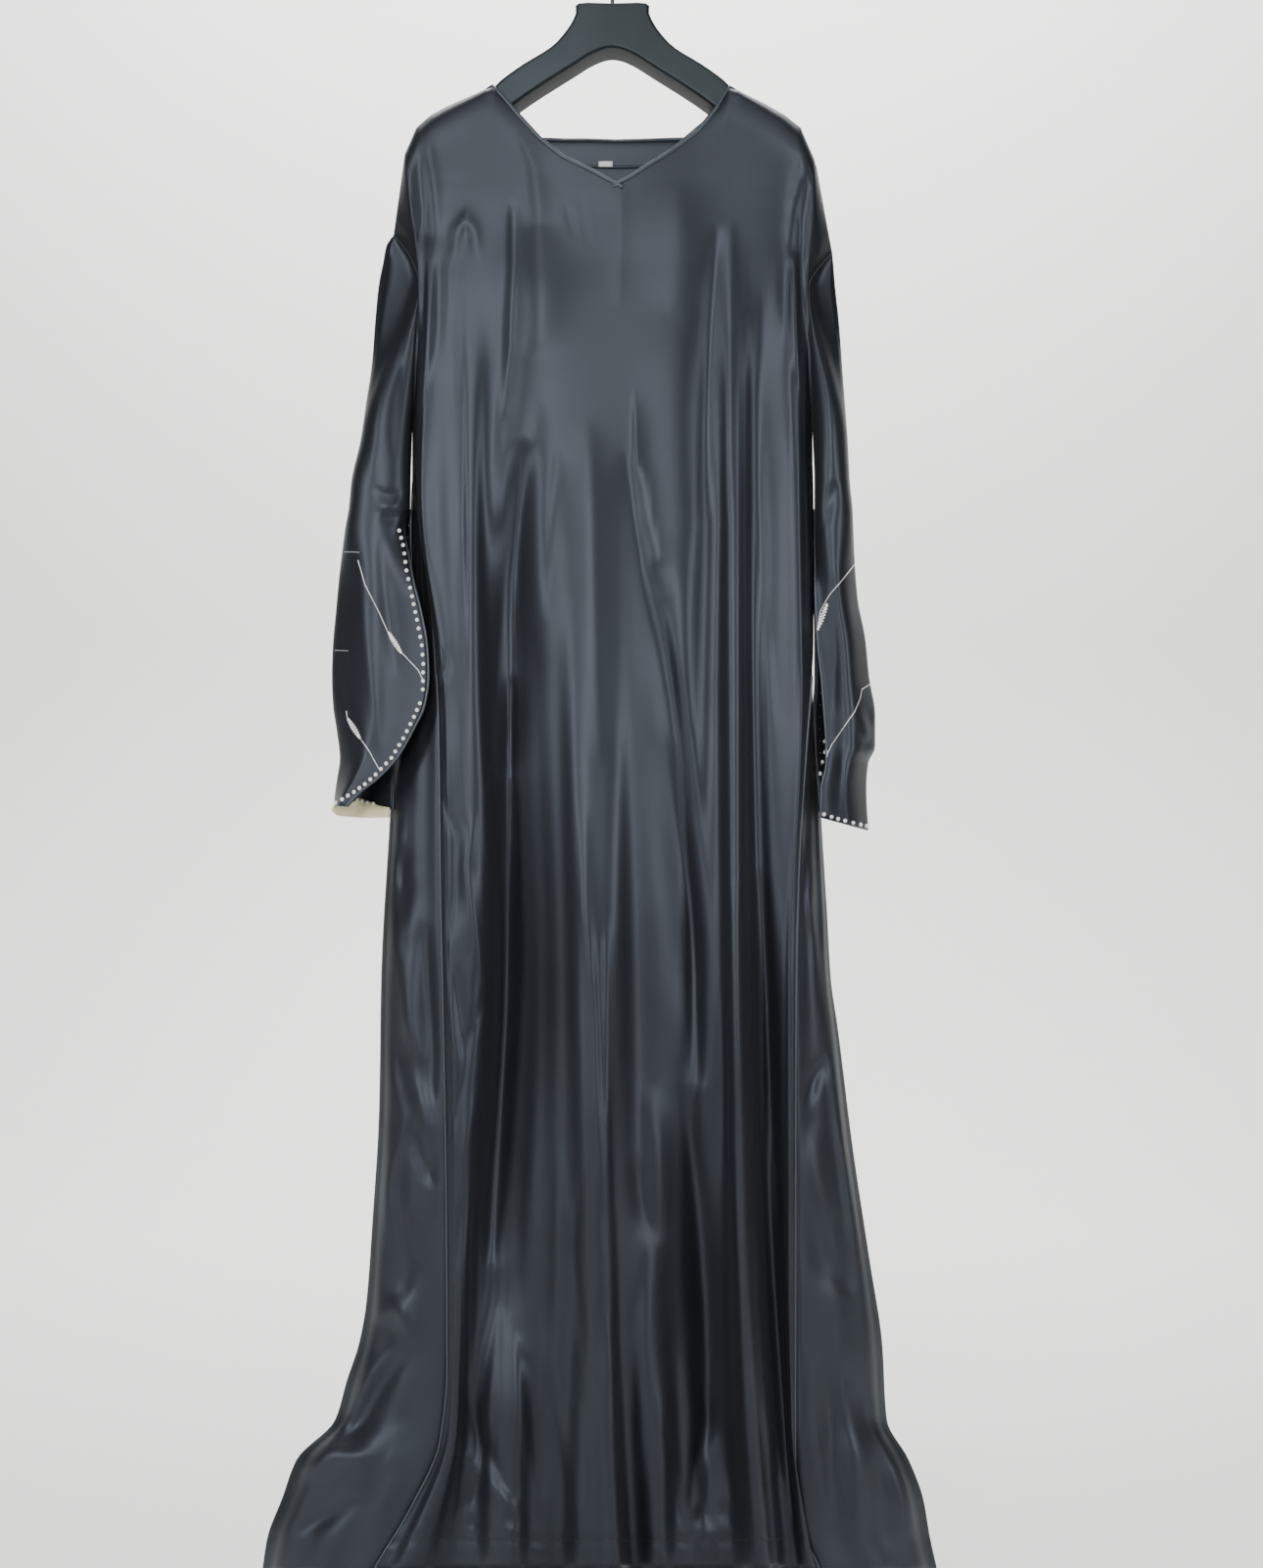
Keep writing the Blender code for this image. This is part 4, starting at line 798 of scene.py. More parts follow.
# Creases of the front panel: name, half width, height, lean, points (x, down)
FRONT_CREASES: tuple[Crease, ...] = (
    Crease("neck_gather_1", 4, -0.7, 0, ((-50, 275), (-46, 292), (-42, 315))),
    Crease("neck_gather_2", 4, -0.9, 0, ((-33, 269), (-30, 295), (-25, 325))),
    Crease("neck_gather_3", 3.5, -0.8, 0, ((-20, 266), (-18, 292), (-14, 322))),
    Crease("neck_gather_4", 4, -0.9, 0, ((-7, 263), (-6, 290), (-4, 320))),
    Crease("neck_ridge", 9, 0.7, 0, ((7, 258), (6, 295), (5, 350), (4, 385))),
    Crease("right_neck_pull", 9, 1.8, 0.3, ((-98, 205), (-83, 240), (-78, 285), (-80, 330))),
    Crease("right_chest_swell", 26, 5.0, 0, ((-78, 300), (-76, 360), (-79, 430))),
    Crease("right_chest_dip", 9, -5.0, 0.3, ((-104, 275), (-103, 340), (-107, 430), (-113, 500))),
    Crease("left_chest_swell", 30, 4.0, 0, ((62, 255), (67, 315), (62, 390))),
    Crease("shoulder_pull_right", 7, -3.0, -0.3, ((-202, 220), (-196, 280), (-193, 350), (-195, 410))),
    Crease("shoulder_rib_right", 7, 2.6, 0.2, ((-192, 210), (-185, 265), (-182, 340))),
    Crease("shoulder_pull_left", 6, -3.0, 0.2, ((202, 240), (192, 290), (187, 360), (185, 420))),
    Crease("shoulder_rib_left", 6, 2.4, 0, ((196, 225), (183, 275), (176, 340))),
    Crease("left_thin_fold", 5, 2.2, 0.2, ((187, 330), (180, 385), (178, 460), (182, 550))),
    Crease("teardrop_rim", 6, 3.2, 0.2, ((-166, 340), (-162, 305), (-153, 294), (-144, 305), (-140, 340))),
    Crease("drape_crease", 8, 4.0, 0.5, ((20, 470), (22, 540), (32, 600), (47, 675), (63, 750), (76, 825),
                                         (87, 900))),
    Crease("drape_shadow", 14, -4.5, -0.3, ((11, 530), (20, 600), (33, 675), (47, 750), (60, 825))),
    Crease("right_deep_1", 15, -5.0, 0, ((-76, 480), (-93, 575), (-110, 660), (-122, 770), (-128, 870))),
    Crease("right_deep_2", 10, -3.0, 0.3, ((-58, 530), (-64, 600), (-69, 700))),
    Crease("centre_swell", 18, 4.0, 0, ((-28, 500), (-24, 600), (-20, 725), (-16, 850))),
    Crease("left_deep_1", 11, -5.5, -0.2, ((105, 300), (98, 410), (93, 500), (91, 600))),
    Crease("left_deep_2", 11, -4.0, 0.2, ((152, 365), (145, 470), (147, 575), (157, 690), (168, 810))),
    Crease("left_rise", 10, 3.0, 0, ((118, 295), (118, 400), (115, 510), (112, 600))),
    Crease("slit_pucker_1", 4, 2.4, 0, ((-181, 725), (-177, 745), (-180, 762))),
    Crease("slit_pucker_2", 4, -2.4, 0, ((-176, 730), (-172, 748), (-176, 770))),
    Crease("slit_pull", 7, -3.0, 0.3, ((-178, 765), (-176, 810), (-179, 865))),
    Crease("strip_crumple_1", 7, -3.5, 0.3, ((-178, 880), (-162, 925), (-163, 985), (-170, 1035))),
    Crease("strip_crumple_2", 7, 3.4, -0.2, ((-143, 900), (-152, 955), (-143, 1015), (-135, 1070))),
    Crease("strip_crumple_3", 6, -3.2, 0.2, ((-164, 1055), (-158, 1105), (-155, 1150))),
    Crease("strip_crumple_4", 8, 3.4, 0, ((-174, 1040), (-170, 1095), (-161, 1160), (-163, 1210))),
    Crease("strip_crumple_5", 6, -3.0, -0.2, ((-132, 1085), (-149, 1130), (-156, 1180), (-168, 1231))),
    Crease("strip_crumple_6", 7, 2.6, 0, ((-143, 1190), (-155, 1250), (-158, 1320))),
    Crease("strip_crumple_7", 6, -2.4, 0, ((-163, 1240), (-156, 1300), (-163, 1370))),
    Crease("black_valley", 20, -22.0, 0.1, ((-106, 760), (-108, 900), (-112, 1060), (-118, 1200),
                                            (-126, 1360))),
    Crease("centre_valley", 16, -16.0, 0, ((70, 1180), (84, 1290), (92, 1400), (96, 1520), (92, 1640))),
    Crease("right_valley", 12, -12.0, 0, ((150, 960), (156, 1100), (158, 1260), (166, 1420), (178, 1580))),
    Crease("upper_valley_right", 20, -18.0, 0, ((-94, 520), (-104, 700), (-108, 860))),
    Crease("upper_valley_left", 18, -18.0, 0, ((46, 640), (66, 850), (80, 1000), (88, 1180))),
    Crease("black_groove", 14, -5.0, 0, ((-118, 930), (-120, 1060), (-128, 1190), (-136, 1320))),
    Crease("centre_rim_1", 7, 4.0, 0.2, ((-33, 890), (-31, 995), (-21, 1105), (-18, 1215), (-9, 1315))),
    Crease("centre_rim_2", 6, 3.4, -0.2, ((-7, 1010), (-9, 1110), (-7, 1220), (-6, 1305))),
    Crease("centre_between", 6, -3.0, 0, ((-17, 1020), (-14, 1120), (-12, 1210))),
    Crease("low_rim", 8, 4.2, 0.3, ((-57, 1240), (-58, 1360), (-62, 1460), (-48, 1570), (-31, 1650))),
    Crease("low_crinkle_1", 6, -3.2, 0, ((-33, 1270), (-44, 1345), (-36, 1410), (-28, 1460))),
    Crease("low_crinkle_2", 6, 3.2, 0, ((-22, 1380), (-25, 1450), (-13, 1515), (-6, 1590))),
    Crease("low_crinkle_3", 6, -3.0, 0, ((-40, 1470), (-28, 1530), (-20, 1590), (-17, 1650))),
    Crease("low_edge", 8, 3.4, -0.3, ((-8, 1410), (-2, 1490), (6, 1570), (7, 1640))),
    Crease("triangle_1", 9, 4.0, 0.3, ((33, 1180), (43, 1250), (48, 1320))),
    Crease("triangle_2", 8, -3.6, -0.3, ((22, 1250), (32, 1310), (45, 1340))),
    Crease("low_fold_1", 10, 4.4, 0, ((38, 1340), (31, 1430), (28, 1515), (22, 1600))),
    Crease("low_fold_2", 7, -3.6, 0.2, ((55, 1430), (64, 1510), (70, 1590))),
    Crease("low_fold_3", 7, 3.0, 0, ((55, 1470), (47, 1530), (52, 1595))),
    Crease("low_fold_4", 6, -3.4, 0, ((85, 1460), (93, 1515), (81, 1565), (77, 1610))),
    Crease("low_fold_5", 7, 3.4, 0, ((103, 1530), (94, 1565), (89, 1610))),
    Crease("low_fold_6", 6, -2.6, 0, ((110, 1555), (117, 1585), (122, 1620))),
    Crease("low_left_1", 10, 4.6, 0.2, ((-118, 1405), (-126, 1485), (-135, 1540))),
    Crease("low_left_2", 8, -4.0, 0, ((-158, 1460), (-141, 1530), (-108, 1590), (-91, 1615))),
    Crease("low_left_3", 7, 3.8, 0, ((-105, 1430), (-95, 1515), (-83, 1585))),
    Crease("low_left_4", 8, 3.6, 0, ((-164, 1540), (-133, 1580), (-100, 1615))),
    Crease("low_left_5", 6, -3.2, 0, ((-128, 1570), (-143, 1595), (-163, 1620))),
    Crease("low_left_6", 7, -3.0, 0, ((-78, 1445), (-80, 1520), (-73, 1600))),
    Crease("ridge_right_wave_1", 8, 3.0, 0, ((121, 970), (125, 1110), (127, 1230))),
    Crease("ridge_right_wave_2", 6, -2.6, 0, ((110, 1080), (114, 1190), (117, 1300))),
    Crease("ridge_right_wave_3", 8, 3.2, 0.2, ((122, 1280), (132, 1395), (147, 1490), (170, 1585),
                                               (192, 1660))),
    Crease("right_groove_line_1", 6, 3.2, 0, ((146, 1030), (153, 1170), (161, 1300), (170, 1410))),
    Crease("right_groove_line_2", 5, -2.8, 0, ((157, 1110), (164, 1240), (173, 1350))),
    Crease("hem_pucker_1", 5, -2.0, 0, ((-186, 1620), (-182, 1635))),
    Crease("hem_pucker_2", 5, -2.4, 0, ((-148, 1618), (-144, 1635))),
    Crease("hem_pucker_3", 5, -2.4, 0, ((-109, 1610), (-105, 1632))),
    Crease("hem_pucker_4", 5, -2.4, 0, ((61, 1605), (63, 1623))),
    Crease("hem_pucker_5", 5, -2.4, 0, ((87, 1610), (90, 1625))),
    Crease("hem_pucker_6", 5, -2.4, 0, ((111, 1605), (114, 1625))),
)

# Creases where the back panel turns forward beside the slits
WRAP_CREASES: tuple[Crease, ...] = (
    Crease("right_strip_1", 11, 7.8, 0.2, ((-209, 950), (-222, 1035), (-213, 1110), (-200, 1155))),
    Crease("right_strip_2", 9, -7.8, 0, ((-195, 1010), (-189, 1095), (-184, 1150), (-188, 1195))),
    Crease("right_strip_3", 7, -6.8, 0.2, ((-209, 1210), (-198, 1250), (-184, 1283))),
    Crease("right_strip_4", 9, 6.5, -0.2, ((-228, 1150), (-217, 1215), (-231, 1285), (-226, 1350))),
    Crease("right_strip_5", 8, 6.1, 0, ((-202, 1170), (-192, 1220), (-195, 1270))),
    Crease("right_strip_6", 9, -5.8, 0, ((-217, 1300), (-210, 1360), (-219, 1405))),
    Crease("right_strip_7", 12, 7.1, 0, ((-244, 1420), (-222, 1402), (-205, 1435))),
    Crease("right_strip_8", 9, -7.8, 0.2, ((-204, 1440), (-233, 1475), (-260, 1515), (-283, 1550))),
    Crease("right_strip_9", 9, 7.1, -0.2, ((-227, 1445), (-253, 1485), (-275, 1530))),
    Crease("right_strip_10", 14, 7.5, 0, ((-323, 1575), (-288, 1556), (-244, 1556))),
    Crease("right_strip_11", 10, -6.5, 0, ((-260, 1595), (-288, 1615), (-323, 1635))),
    Crease("right_strip_12", 9, 5.1, 0, ((-218, 1520), (-228, 1590), (-253, 1650))),
    Crease("right_strip_13", 8, -5.1, 0, ((-223, 930), (-213, 980), (-218, 1020))),
    Crease("right_strip_14", 8, 5.1, 0, ((-213, 880), (-219, 930), (-225, 980))),
    Crease("left_strip_1", 6, 6.8, 0, ((193, 960), (205, 1035), (215, 1120), (230, 1230), (245, 1320),
                                       (263, 1415))),
    Crease("left_strip_2", 9, 5.1, 0, ((192, 930), (201, 970), (197, 1020))),
    Crease("left_strip_3", 7, -5.8, 0, ((215, 1150), (204, 1170), (194, 1200))),
    Crease("left_strip_4", 12, 5.1, 0, ((202, 1220), (205, 1270), (222, 1320))),
    Crease("left_strip_5", 12, -5.1, 0, ((197, 1310), (217, 1360), (242, 1390))),
    Crease("left_strip_6", 9, 7.5, 0, ((205, 1445), (198, 1515), (203, 1580), (210, 1630))),
    Crease("left_strip_7", 8, -7.5, 0, ((218, 1460), (223, 1540), (230, 1620))),
    Crease("left_strip_8", 10, 5.8, 0, ((235, 1480), (247, 1535), (253, 1600), (250, 1660))),
    Crease("left_strip_9", 9, -6.1, 0, ((268, 1560), (264, 1610), (272, 1660))),
    Crease("left_strip_10", 9, 5.8, 0, ((287, 1555), (298, 1590), (302, 1640))),
    Crease("left_strip_11", 8, -5.1, 0, ((242, 1460), (250, 1500), (267, 1540))),
)

# Creases of the hidden back, with the same columns
BACK_CREASES: tuple[Crease, ...] = (
    Crease("yoke_swell_right", 26, 3.6, 0.2, ((-90, 250), (-84, 330), (-92, 420))),
    Crease("yoke_swell_left", 26, 3.6, -0.2, ((84, 250), (90, 340), (82, 430))),
    Crease("blade_dip", 12, -3.4, 0.0, ((-48, 300), (-54, 420), (-50, 560))),
    Crease("back_drape_1", 9, 4.0, 0.4, ((20, 420), (34, 600), (58, 820), (84, 1060))),
    Crease("back_drape_2", 12, -4.2, -0.3, ((-60, 540), (-84, 760), (-96, 1000))),
    Crease("back_ridge_1", 8, 3.6, 0.2, ((-20, 640), (-12, 900), (-18, 1180))),
    Crease("back_ridge_2", 8, 3.4, 0.0, ((120, 700), (138, 960), (150, 1240))),
    Crease("back_hollow_1", 11, -4.0, 0.2, ((60, 900), (74, 1150), (88, 1400))),
    Crease("back_hollow_2", 10, -3.8, 0.0, ((-150, 860), (-160, 1100), (-172, 1340))),
    Crease("low_back_1", 9, 4.0, 0.2, ((-96, 1320), (-110, 1450), (-104, 1600))),
    Crease("low_back_2", 9, -3.8, 0.0, ((-40, 1360), (-24, 1480), (-34, 1610))),
    Crease("low_back_3", 9, 4.2, -0.2, ((48, 1340), (60, 1470), (50, 1600))),
    Crease("low_back_4", 8, -3.6, 0.0, ((150, 1330), (176, 1460), (196, 1600))),
    Crease("low_back_5", 10, 3.8, 0.0, ((-214, 1350), (-240, 1480), (-270, 1610))),
    Crease("low_back_6", 10, 3.8, 0.0, ((220, 1370), (248, 1500), (270, 1620))),
)

# Creases of each sleeve, seen from the front; the back of the sleeve gets the same, softer
SLEEVE_CREASES: dict[Side, tuple[Crease, ...]] = {
    Side.RIGHT: (
        Crease("upper_ridge", 9, 2.6, 0.2, ((-228, 350), (-236, 430), (-244, 510), (-250, 560))),
        Crease("upper_dip", 8, -2.6, 0.0, ((-214, 360), (-218, 450), (-224, 540))),
        Crease("notch_gather_1", 4, -2.4, 0.0, ((-248, 568), (-234, 576), (-216, 572))),
        Crease("notch_gather_2", 4, 2.4, 0.0, ((-244, 584), (-232, 588), (-218, 584))),
        Crease("notch_gather_3", 4, -2.4, 0.0, ((-240, 596), (-230, 600), (-220, 598))),
        Crease("petal_fold_1", 9, 3.0, 0.2, ((-262, 650), (-256, 710), (-246, 780), (-240, 840))),
        Crease("petal_fold_2", 8, -2.8, 0.0, ((-240, 620), (-232, 690), (-222, 760))),
        Crease("petal_fold_3", 8, -2.6, 0.0, ((-278, 730), (-272, 790), (-264, 850))),
        Crease("cuff_bulge", 9, 3.0, 0.0, ((-284, 770), (-276, 800), (-282, 830))),
    ),
    Side.LEFT: (
        Crease("upper_ridge", 9, 2.6, 0.0, ((213, 370), (219, 450), (223, 550))),
        Crease("elbow_dip", 7, -3.0, 0.0, ((226, 560), (221, 580), (214, 606))),
        Crease("petal_fold_1", 8, 3.0, 0.0, ((236, 656), (242, 720), (244, 780))),
        Crease("petal_fold_2", 7, -2.8, 0.0, ((222, 660), (226, 740), (224, 800))),
        Crease("elbow_crumple_1", 4.5, -4.2, 0.0, ((252, 792), (262, 802), (258, 818))),
        Crease("elbow_crumple_2", 4.5, 3.8, 0.0, ((250, 804), (258, 812), (256, 830))),
        Crease("elbow_crumple_3", 4.5, -3.8, 0.0, ((246, 822), (256, 830), (254, 842))),
        Crease("cuff_fold", 8, 3.0, 0.0, ((232, 830), (234, 870), (232, 905))),
    ),
}

# Bead lines of each sleeve, as seen: spacing, then points (x, down)
BEAD_LINES: dict[Side, tuple[tuple[float, Line], ...]] = {
    Side.RIGHT: (
        (8.6, ((-221, 612), (-217, 627), (-213, 653), (-207, 679), (-202, 703), (-197, 729),
               (-195.5, 748), (-196, 774))),
        (7.3, ((-199, 788), (-205, 802), (-216, 824), (-228, 844), (-244, 861), (-255, 871),
               (-266, 879), (-284, 890))),
    ),
    Side.LEFT: (
        (6.9, ((214, 901.5), (222, 904), (235, 908), (250, 912), (256, 913.5))),
        (10.0, ((213, 827), (213, 838), (211, 848), (209, 860))),
    ),
}
# Silver braid on each sleeve, as seen
BRAID_LINES: dict[Side, tuple[Line, ...]] = {
    Side.RIGHT: (
        ((-262, 642), (-255, 667), (-241, 695), (-232, 715), (-217, 737), (-201, 754), (-196, 764)),
        ((-274, 796), (-273, 803), (-264, 818), (-252, 835), (-241, 855)),
        ((-227, 850), (-244, 871), (-266, 886)),
    ),
    Side.LEFT: (
        ((247, 643), (233, 661), (219, 678), (210, 694), (207, 713)),
        ((263, 767), (252, 774), (250, 784), (245, 796), (233, 814), (222, 830), (217, 840)),
        ((214, 793), (214, 807), (216, 827), (217, 841), (214, 858), (208, 873)),
    ),
}
# Short silver tacks across the sleeve, as seen
TACKS = (((-276, 633.5), (-268, 633.5), (-261, 634)), ((-285.5, 734), (-279, 734.3), (-272, 734.5)))
# Beads along the top of the cuff's pale inside, as seen: x, down
CUFF_BEADS = ((-264, 887), (-258, 887.8), (-252, 889), (-246, 890.4), (-240, 891.8), (-234, 893))
# The size label, as seen: left, right, top and bottom
LABEL_PLACE = (-16.5, -2.3, 236.0, 241.6)
# Leaf-shaped bead clusters, as seen: the two ends
LEAVES: dict[Side, tuple[Line, ...]] = {
    Side.RIGHT: (((-231, 716), (-219, 735)), ((-272, 804), (-261, 822))),
    Side.LEFT: (((217, 687), (208, 711)),),
}
BEAD_RADIUS = 2.1
# Beads on the hidden petals: spacing, and the column of the sleeve that they follow
EDGE_BEAD_PITCH = 8.6
EDGE_BEAD_COLUMN = -3
# Silver cords: radius, height above the cloth and spacing of their points
BRAID_RADIUS = 0.55
BRAID_LIFT = 0.4
BRAID_STEP = 2.0
TACK_RADIUS = 0.35
TACK_LIFT = 0.2
TACK_STEP = 3.0
PIPING_RADIUS = 1.3
BINDING_RADIUS = 2.3

# Polyester satin, woven smooth: long floats give a broad soft highlight along the threads
SATIN = Finish("charcoal_satin", "#33373e", 0.45, metallic=0.76, sheen=0.02, grain=0.9, relief=0.03,
               mottle=0.1)
# The same satin cut on the bias, folded and pressed: a little duller, but lighter in colour than the satin, a
# painted highlight along its rolled edges
BINDING_PAINTED_HIGHLIGHT = Finish("satin_binding_painted_highlight", "#454c54", 0.42, metallic=0.5, sheen=0.05, grain=0.9, relief=0.05)
# Cream satin lining at the cuff: pale and smooth
CREAM = Finish("cream_satin", "#efe6bd", 0.4, sheen=0.2, grain=0.9, relief=0.05)
# Woven polyester label tape: white, matt and finely ribbed
LABEL = Finish("woven_label_tape", "#ffffff", 0.7, sheen=0.1, grain=0.6, relief=0.08)
# Pearlised acrylic beads: white and glossy
BEADS = Finish("pearl_beads", "#fdfcf8", 0.2, coat=0.7)
# Metallised thread braid: silver filaments, broken up by their twist
BRAID = Finish("silver_braid", "#d9dadb", 0.35, metallic=0.55, grain=0.7, relief=0.12)
# Polyester sewing thread, the cloth's own colour
THREAD = Finish("sewing_thread", "#1f2429", 0.7, sheen=0.1)
# Injection-moulded polystyrene: black, with a soft moulded gloss
PLASTIC = Finish("moulded_black_plastic", "#33383b", 0.36, metallic=0.7, grain=1.6, relief=0.02, mottle=0.12,
                 edge=0.05)
# Chromed steel wire
CHROME = Finish("chromed_wire", "#c9cacc", 0.18, metallic=1.0)
# Matt studio paper
PAPER = Finish("backdrop_paper", "#f1f1ef", 0.9)

# Fineness of the grids: rows and columns of a sleeve, fine rows to a coarse one of a panel,
# the pitch of a panel's columns in millimetres and the limits on their number between two folds
SLEEVE_UPPER_ROWS = 60
SLEEVE_LOWER_ROWS = 76
SLEEVE_HALF_COLUMNS = 26
UPPER_FINE = 9
LOWER_FINE = 11
COLUMN_PITCH = 4.6
FEWEST_COLUMNS = 4
MOST_COLUMNS = 14

# Creases: columns over which they fade at a panel's edges, how steep their sides are, how they
# taper, the share of their width left at the ends, and how strong they are on a sleeve's back
CREASE_FADE = 4.0
CREASE_POWER = 1.5
CREASE_TAPER = 0.7
CREASE_NARROW = 0.45
SLEEVE_BACK_CREASED = 0.7

# Reach over which the folds are rounded: down, millimetres
FOLD_ROUNDING = ((160, 34.0), (330, 30.0), (480, 16.0), (900, 11.0), (1300, 9.5), (1680, 6.0))
# Heights at which they are rounded together, and how far below the top edge that begins
SOFT_LEVELS = 320
SOFT_BELOW = 25.0
SOFT_BLEND = 60.0
# How far a fold has formed halfway between the shoulder and the first level
FOLD_BEGUN = 0.22

# Leaf-shaped clusters: rows, width, where their curve starts and how far it runs, lane offset
LEAF_ROWS = 9
LEAF_WIDTH = 3.4
LEAF_BLUNT = 0.12
LEAF_TAPER = 0.8
LEAF_STAGGER = 0.06
LEAF_LIFT = 0.6
LEAF_BEAD_RADIUS = 1.15

# Neck: lines of the panels between which its edge and the facing run
NECK_FRONT_LINES = (7, 14, 21)
NECK_BACK_LINES = (6, 15)
FACING_LINES = (7, 14)
# How far the two ends of the front binding pass each other, and how far apart they lie
CROSS_LONG = 7.0
CROSS_SHORT = 4.0
CROSS_OVER = 1.5
CROSS_UNDER = 1.0
FACING_INSIDE = 3.4
FACING_FINE_ROWS = 21
FACING_WALL = 0.8
FACING_HEM_RADIUS = 0.9
LABEL_LIFT = 1.4
LABEL_WALL = 0.4
LABEL_ROWS = 5
LABEL_COLUMNS = 9

# Inside of the cuff: x, down of its upper and of its lower edge, as seen
CUFF_INSIDE = ((-289, 894.5, 897.0), (-284, 892.0, 902.5), (-275, 887.0, 904.0), (-266, 884.5, 905.0),
               (-253, 888.0, 905.5), (-241, 892.5, 905.0), (-230, 894.5, 905.0))
CUFF_COLUMNS = 24
CUFF_ROWS = 5
CUFF_AHEAD = 3.0
CUFF_BELLY = 2.0
CUFF_BEAD_RADIUS = 1.785

# Hems: height of the stitch line above the edge, spacing of the puckers and how it wanders
HEM_TURN = 29.0
PUCKER_PITCH = 21.0
PUCKER_WANDER = 1.7
WANDER_LENGTH = 23.0
# How deep the stitches press the cloth, how much that varies, and how far it swells beside them
HEM_PRESS = 0.9
HEM_WAVE = 0.5
HEM_SWELL = 0.45
STITCH_LONG = 2.6
STITCH_LIFT = 0.3
STITCH_RADIUS = 0.4
SEAM_RADIUS = 0.7

# Smoothness of the hanger's and the hook's round parts
OUTLINE_STEPS = 3
HANGER_ROUND_STEPS = 5
HANGER_SHARP = 40.0
HOOK_ROUND_STEPS = 5

# Mottle of a colour: cells in a metre, and the band of the noise that it uses
MOTTLE_PER_METRE = 9.0
MOTTLE_BAND = (0.3, 0.7)

# Studio, in metres
FLOOR_Z = -1.72
WALL_FAR = 2.9
PAPER_BEHIND = 3.2
PAPER_BEND = 1.2
PAPER_HIGH = 4.5
PAPER_WIDE = 14.0
PAPER_STEPS = 16
ROOM_LIGHT = 0.02
ROOM_COLOUR = "#e9edf2"
# Lights: name, place, aim, size, watts, spread in degrees
LIGHTS = (
    ("key", (-0.4, -3.0, -0.1), (0.0, 0.0, -0.85), (1.1, 1.4), 12.0, 80.0),
    ("side", (-2.3, -1.9, -0.3), (0.0, 0.0, -1.1), (0.5, 1.4), 8.5, 80.0),
    ("other_side", (2.3, -1.9, -0.5), (0.0, 0.0, -1.1), (0.4, 1.2), 7.5, 80.0),
    ("upper", (0.0, -1.9, 1.5), (0.0, 0.0, -0.25), (1.8, 1.3), 5.0, 90.0),
    ("above", (0.0, -0.4, 1.5), (0.0, -0.15, -0.2), (2.0, 1.6), 3.5, 130.0),
    ("paper_light", (0.0, 1.4, 2.6), (0.0, 3.2, -0.9), (3.6, 0.8), 330.0, 160.0),
)


class Beads:
    """A string of beads that becomes one piece."""

    def __init__(self, name: str) -> None:
        self.name = name
        self.bm = bmesh.new()

    def add(self, place: Vector, radius: float) -> None:
        """Adds a bead with its centre at a place; the radius is in millimetres."""
        bmesh.ops.create_uvsphere(self.bm, u_segments=8, v_segments=6, radius=radius * MM,
                                  matrix=Matrix.Translation(place))

    def piece(self) -> bpy.types.Object:
        """Joins the beads into one piece."""
        return linked(self.name, mesh_of(self.name, self.bm))


def hanger_outline() -> list[tuple[float, float]]:
    """The hanger's whole outline in metres, smoothed between the table's points."""
    seen = list(HANGER_OUTLINE) + [(-x, down) for x, down in reversed(HANGER_OUTLINE[1:-1])]
    front = -HANGER_DEPTH / 2 + HANGER_ROUND / 2
    ring = placed(np.array([(x + HANGER_X, down, front) for x, down in seen]))[:, (0, 2)]
    count, result = len(ring), []
    for i in range(count):
        a, b, c, d = (ring[(i + k) % count] for k in (-1, 0, 1, 2))
        for share in np.arange(OUTLINE_STEPS) / OUTLINE_STEPS:
            point = 0.5 * (2 * b + (c - a) * share + (2 * a - 5 * b + 4 * c - d) * share ** 2
                           + (3 * b - a - 3 * c + d) * share ** 3)
            result.append((float(point[0]), float(point[1])))
    return result


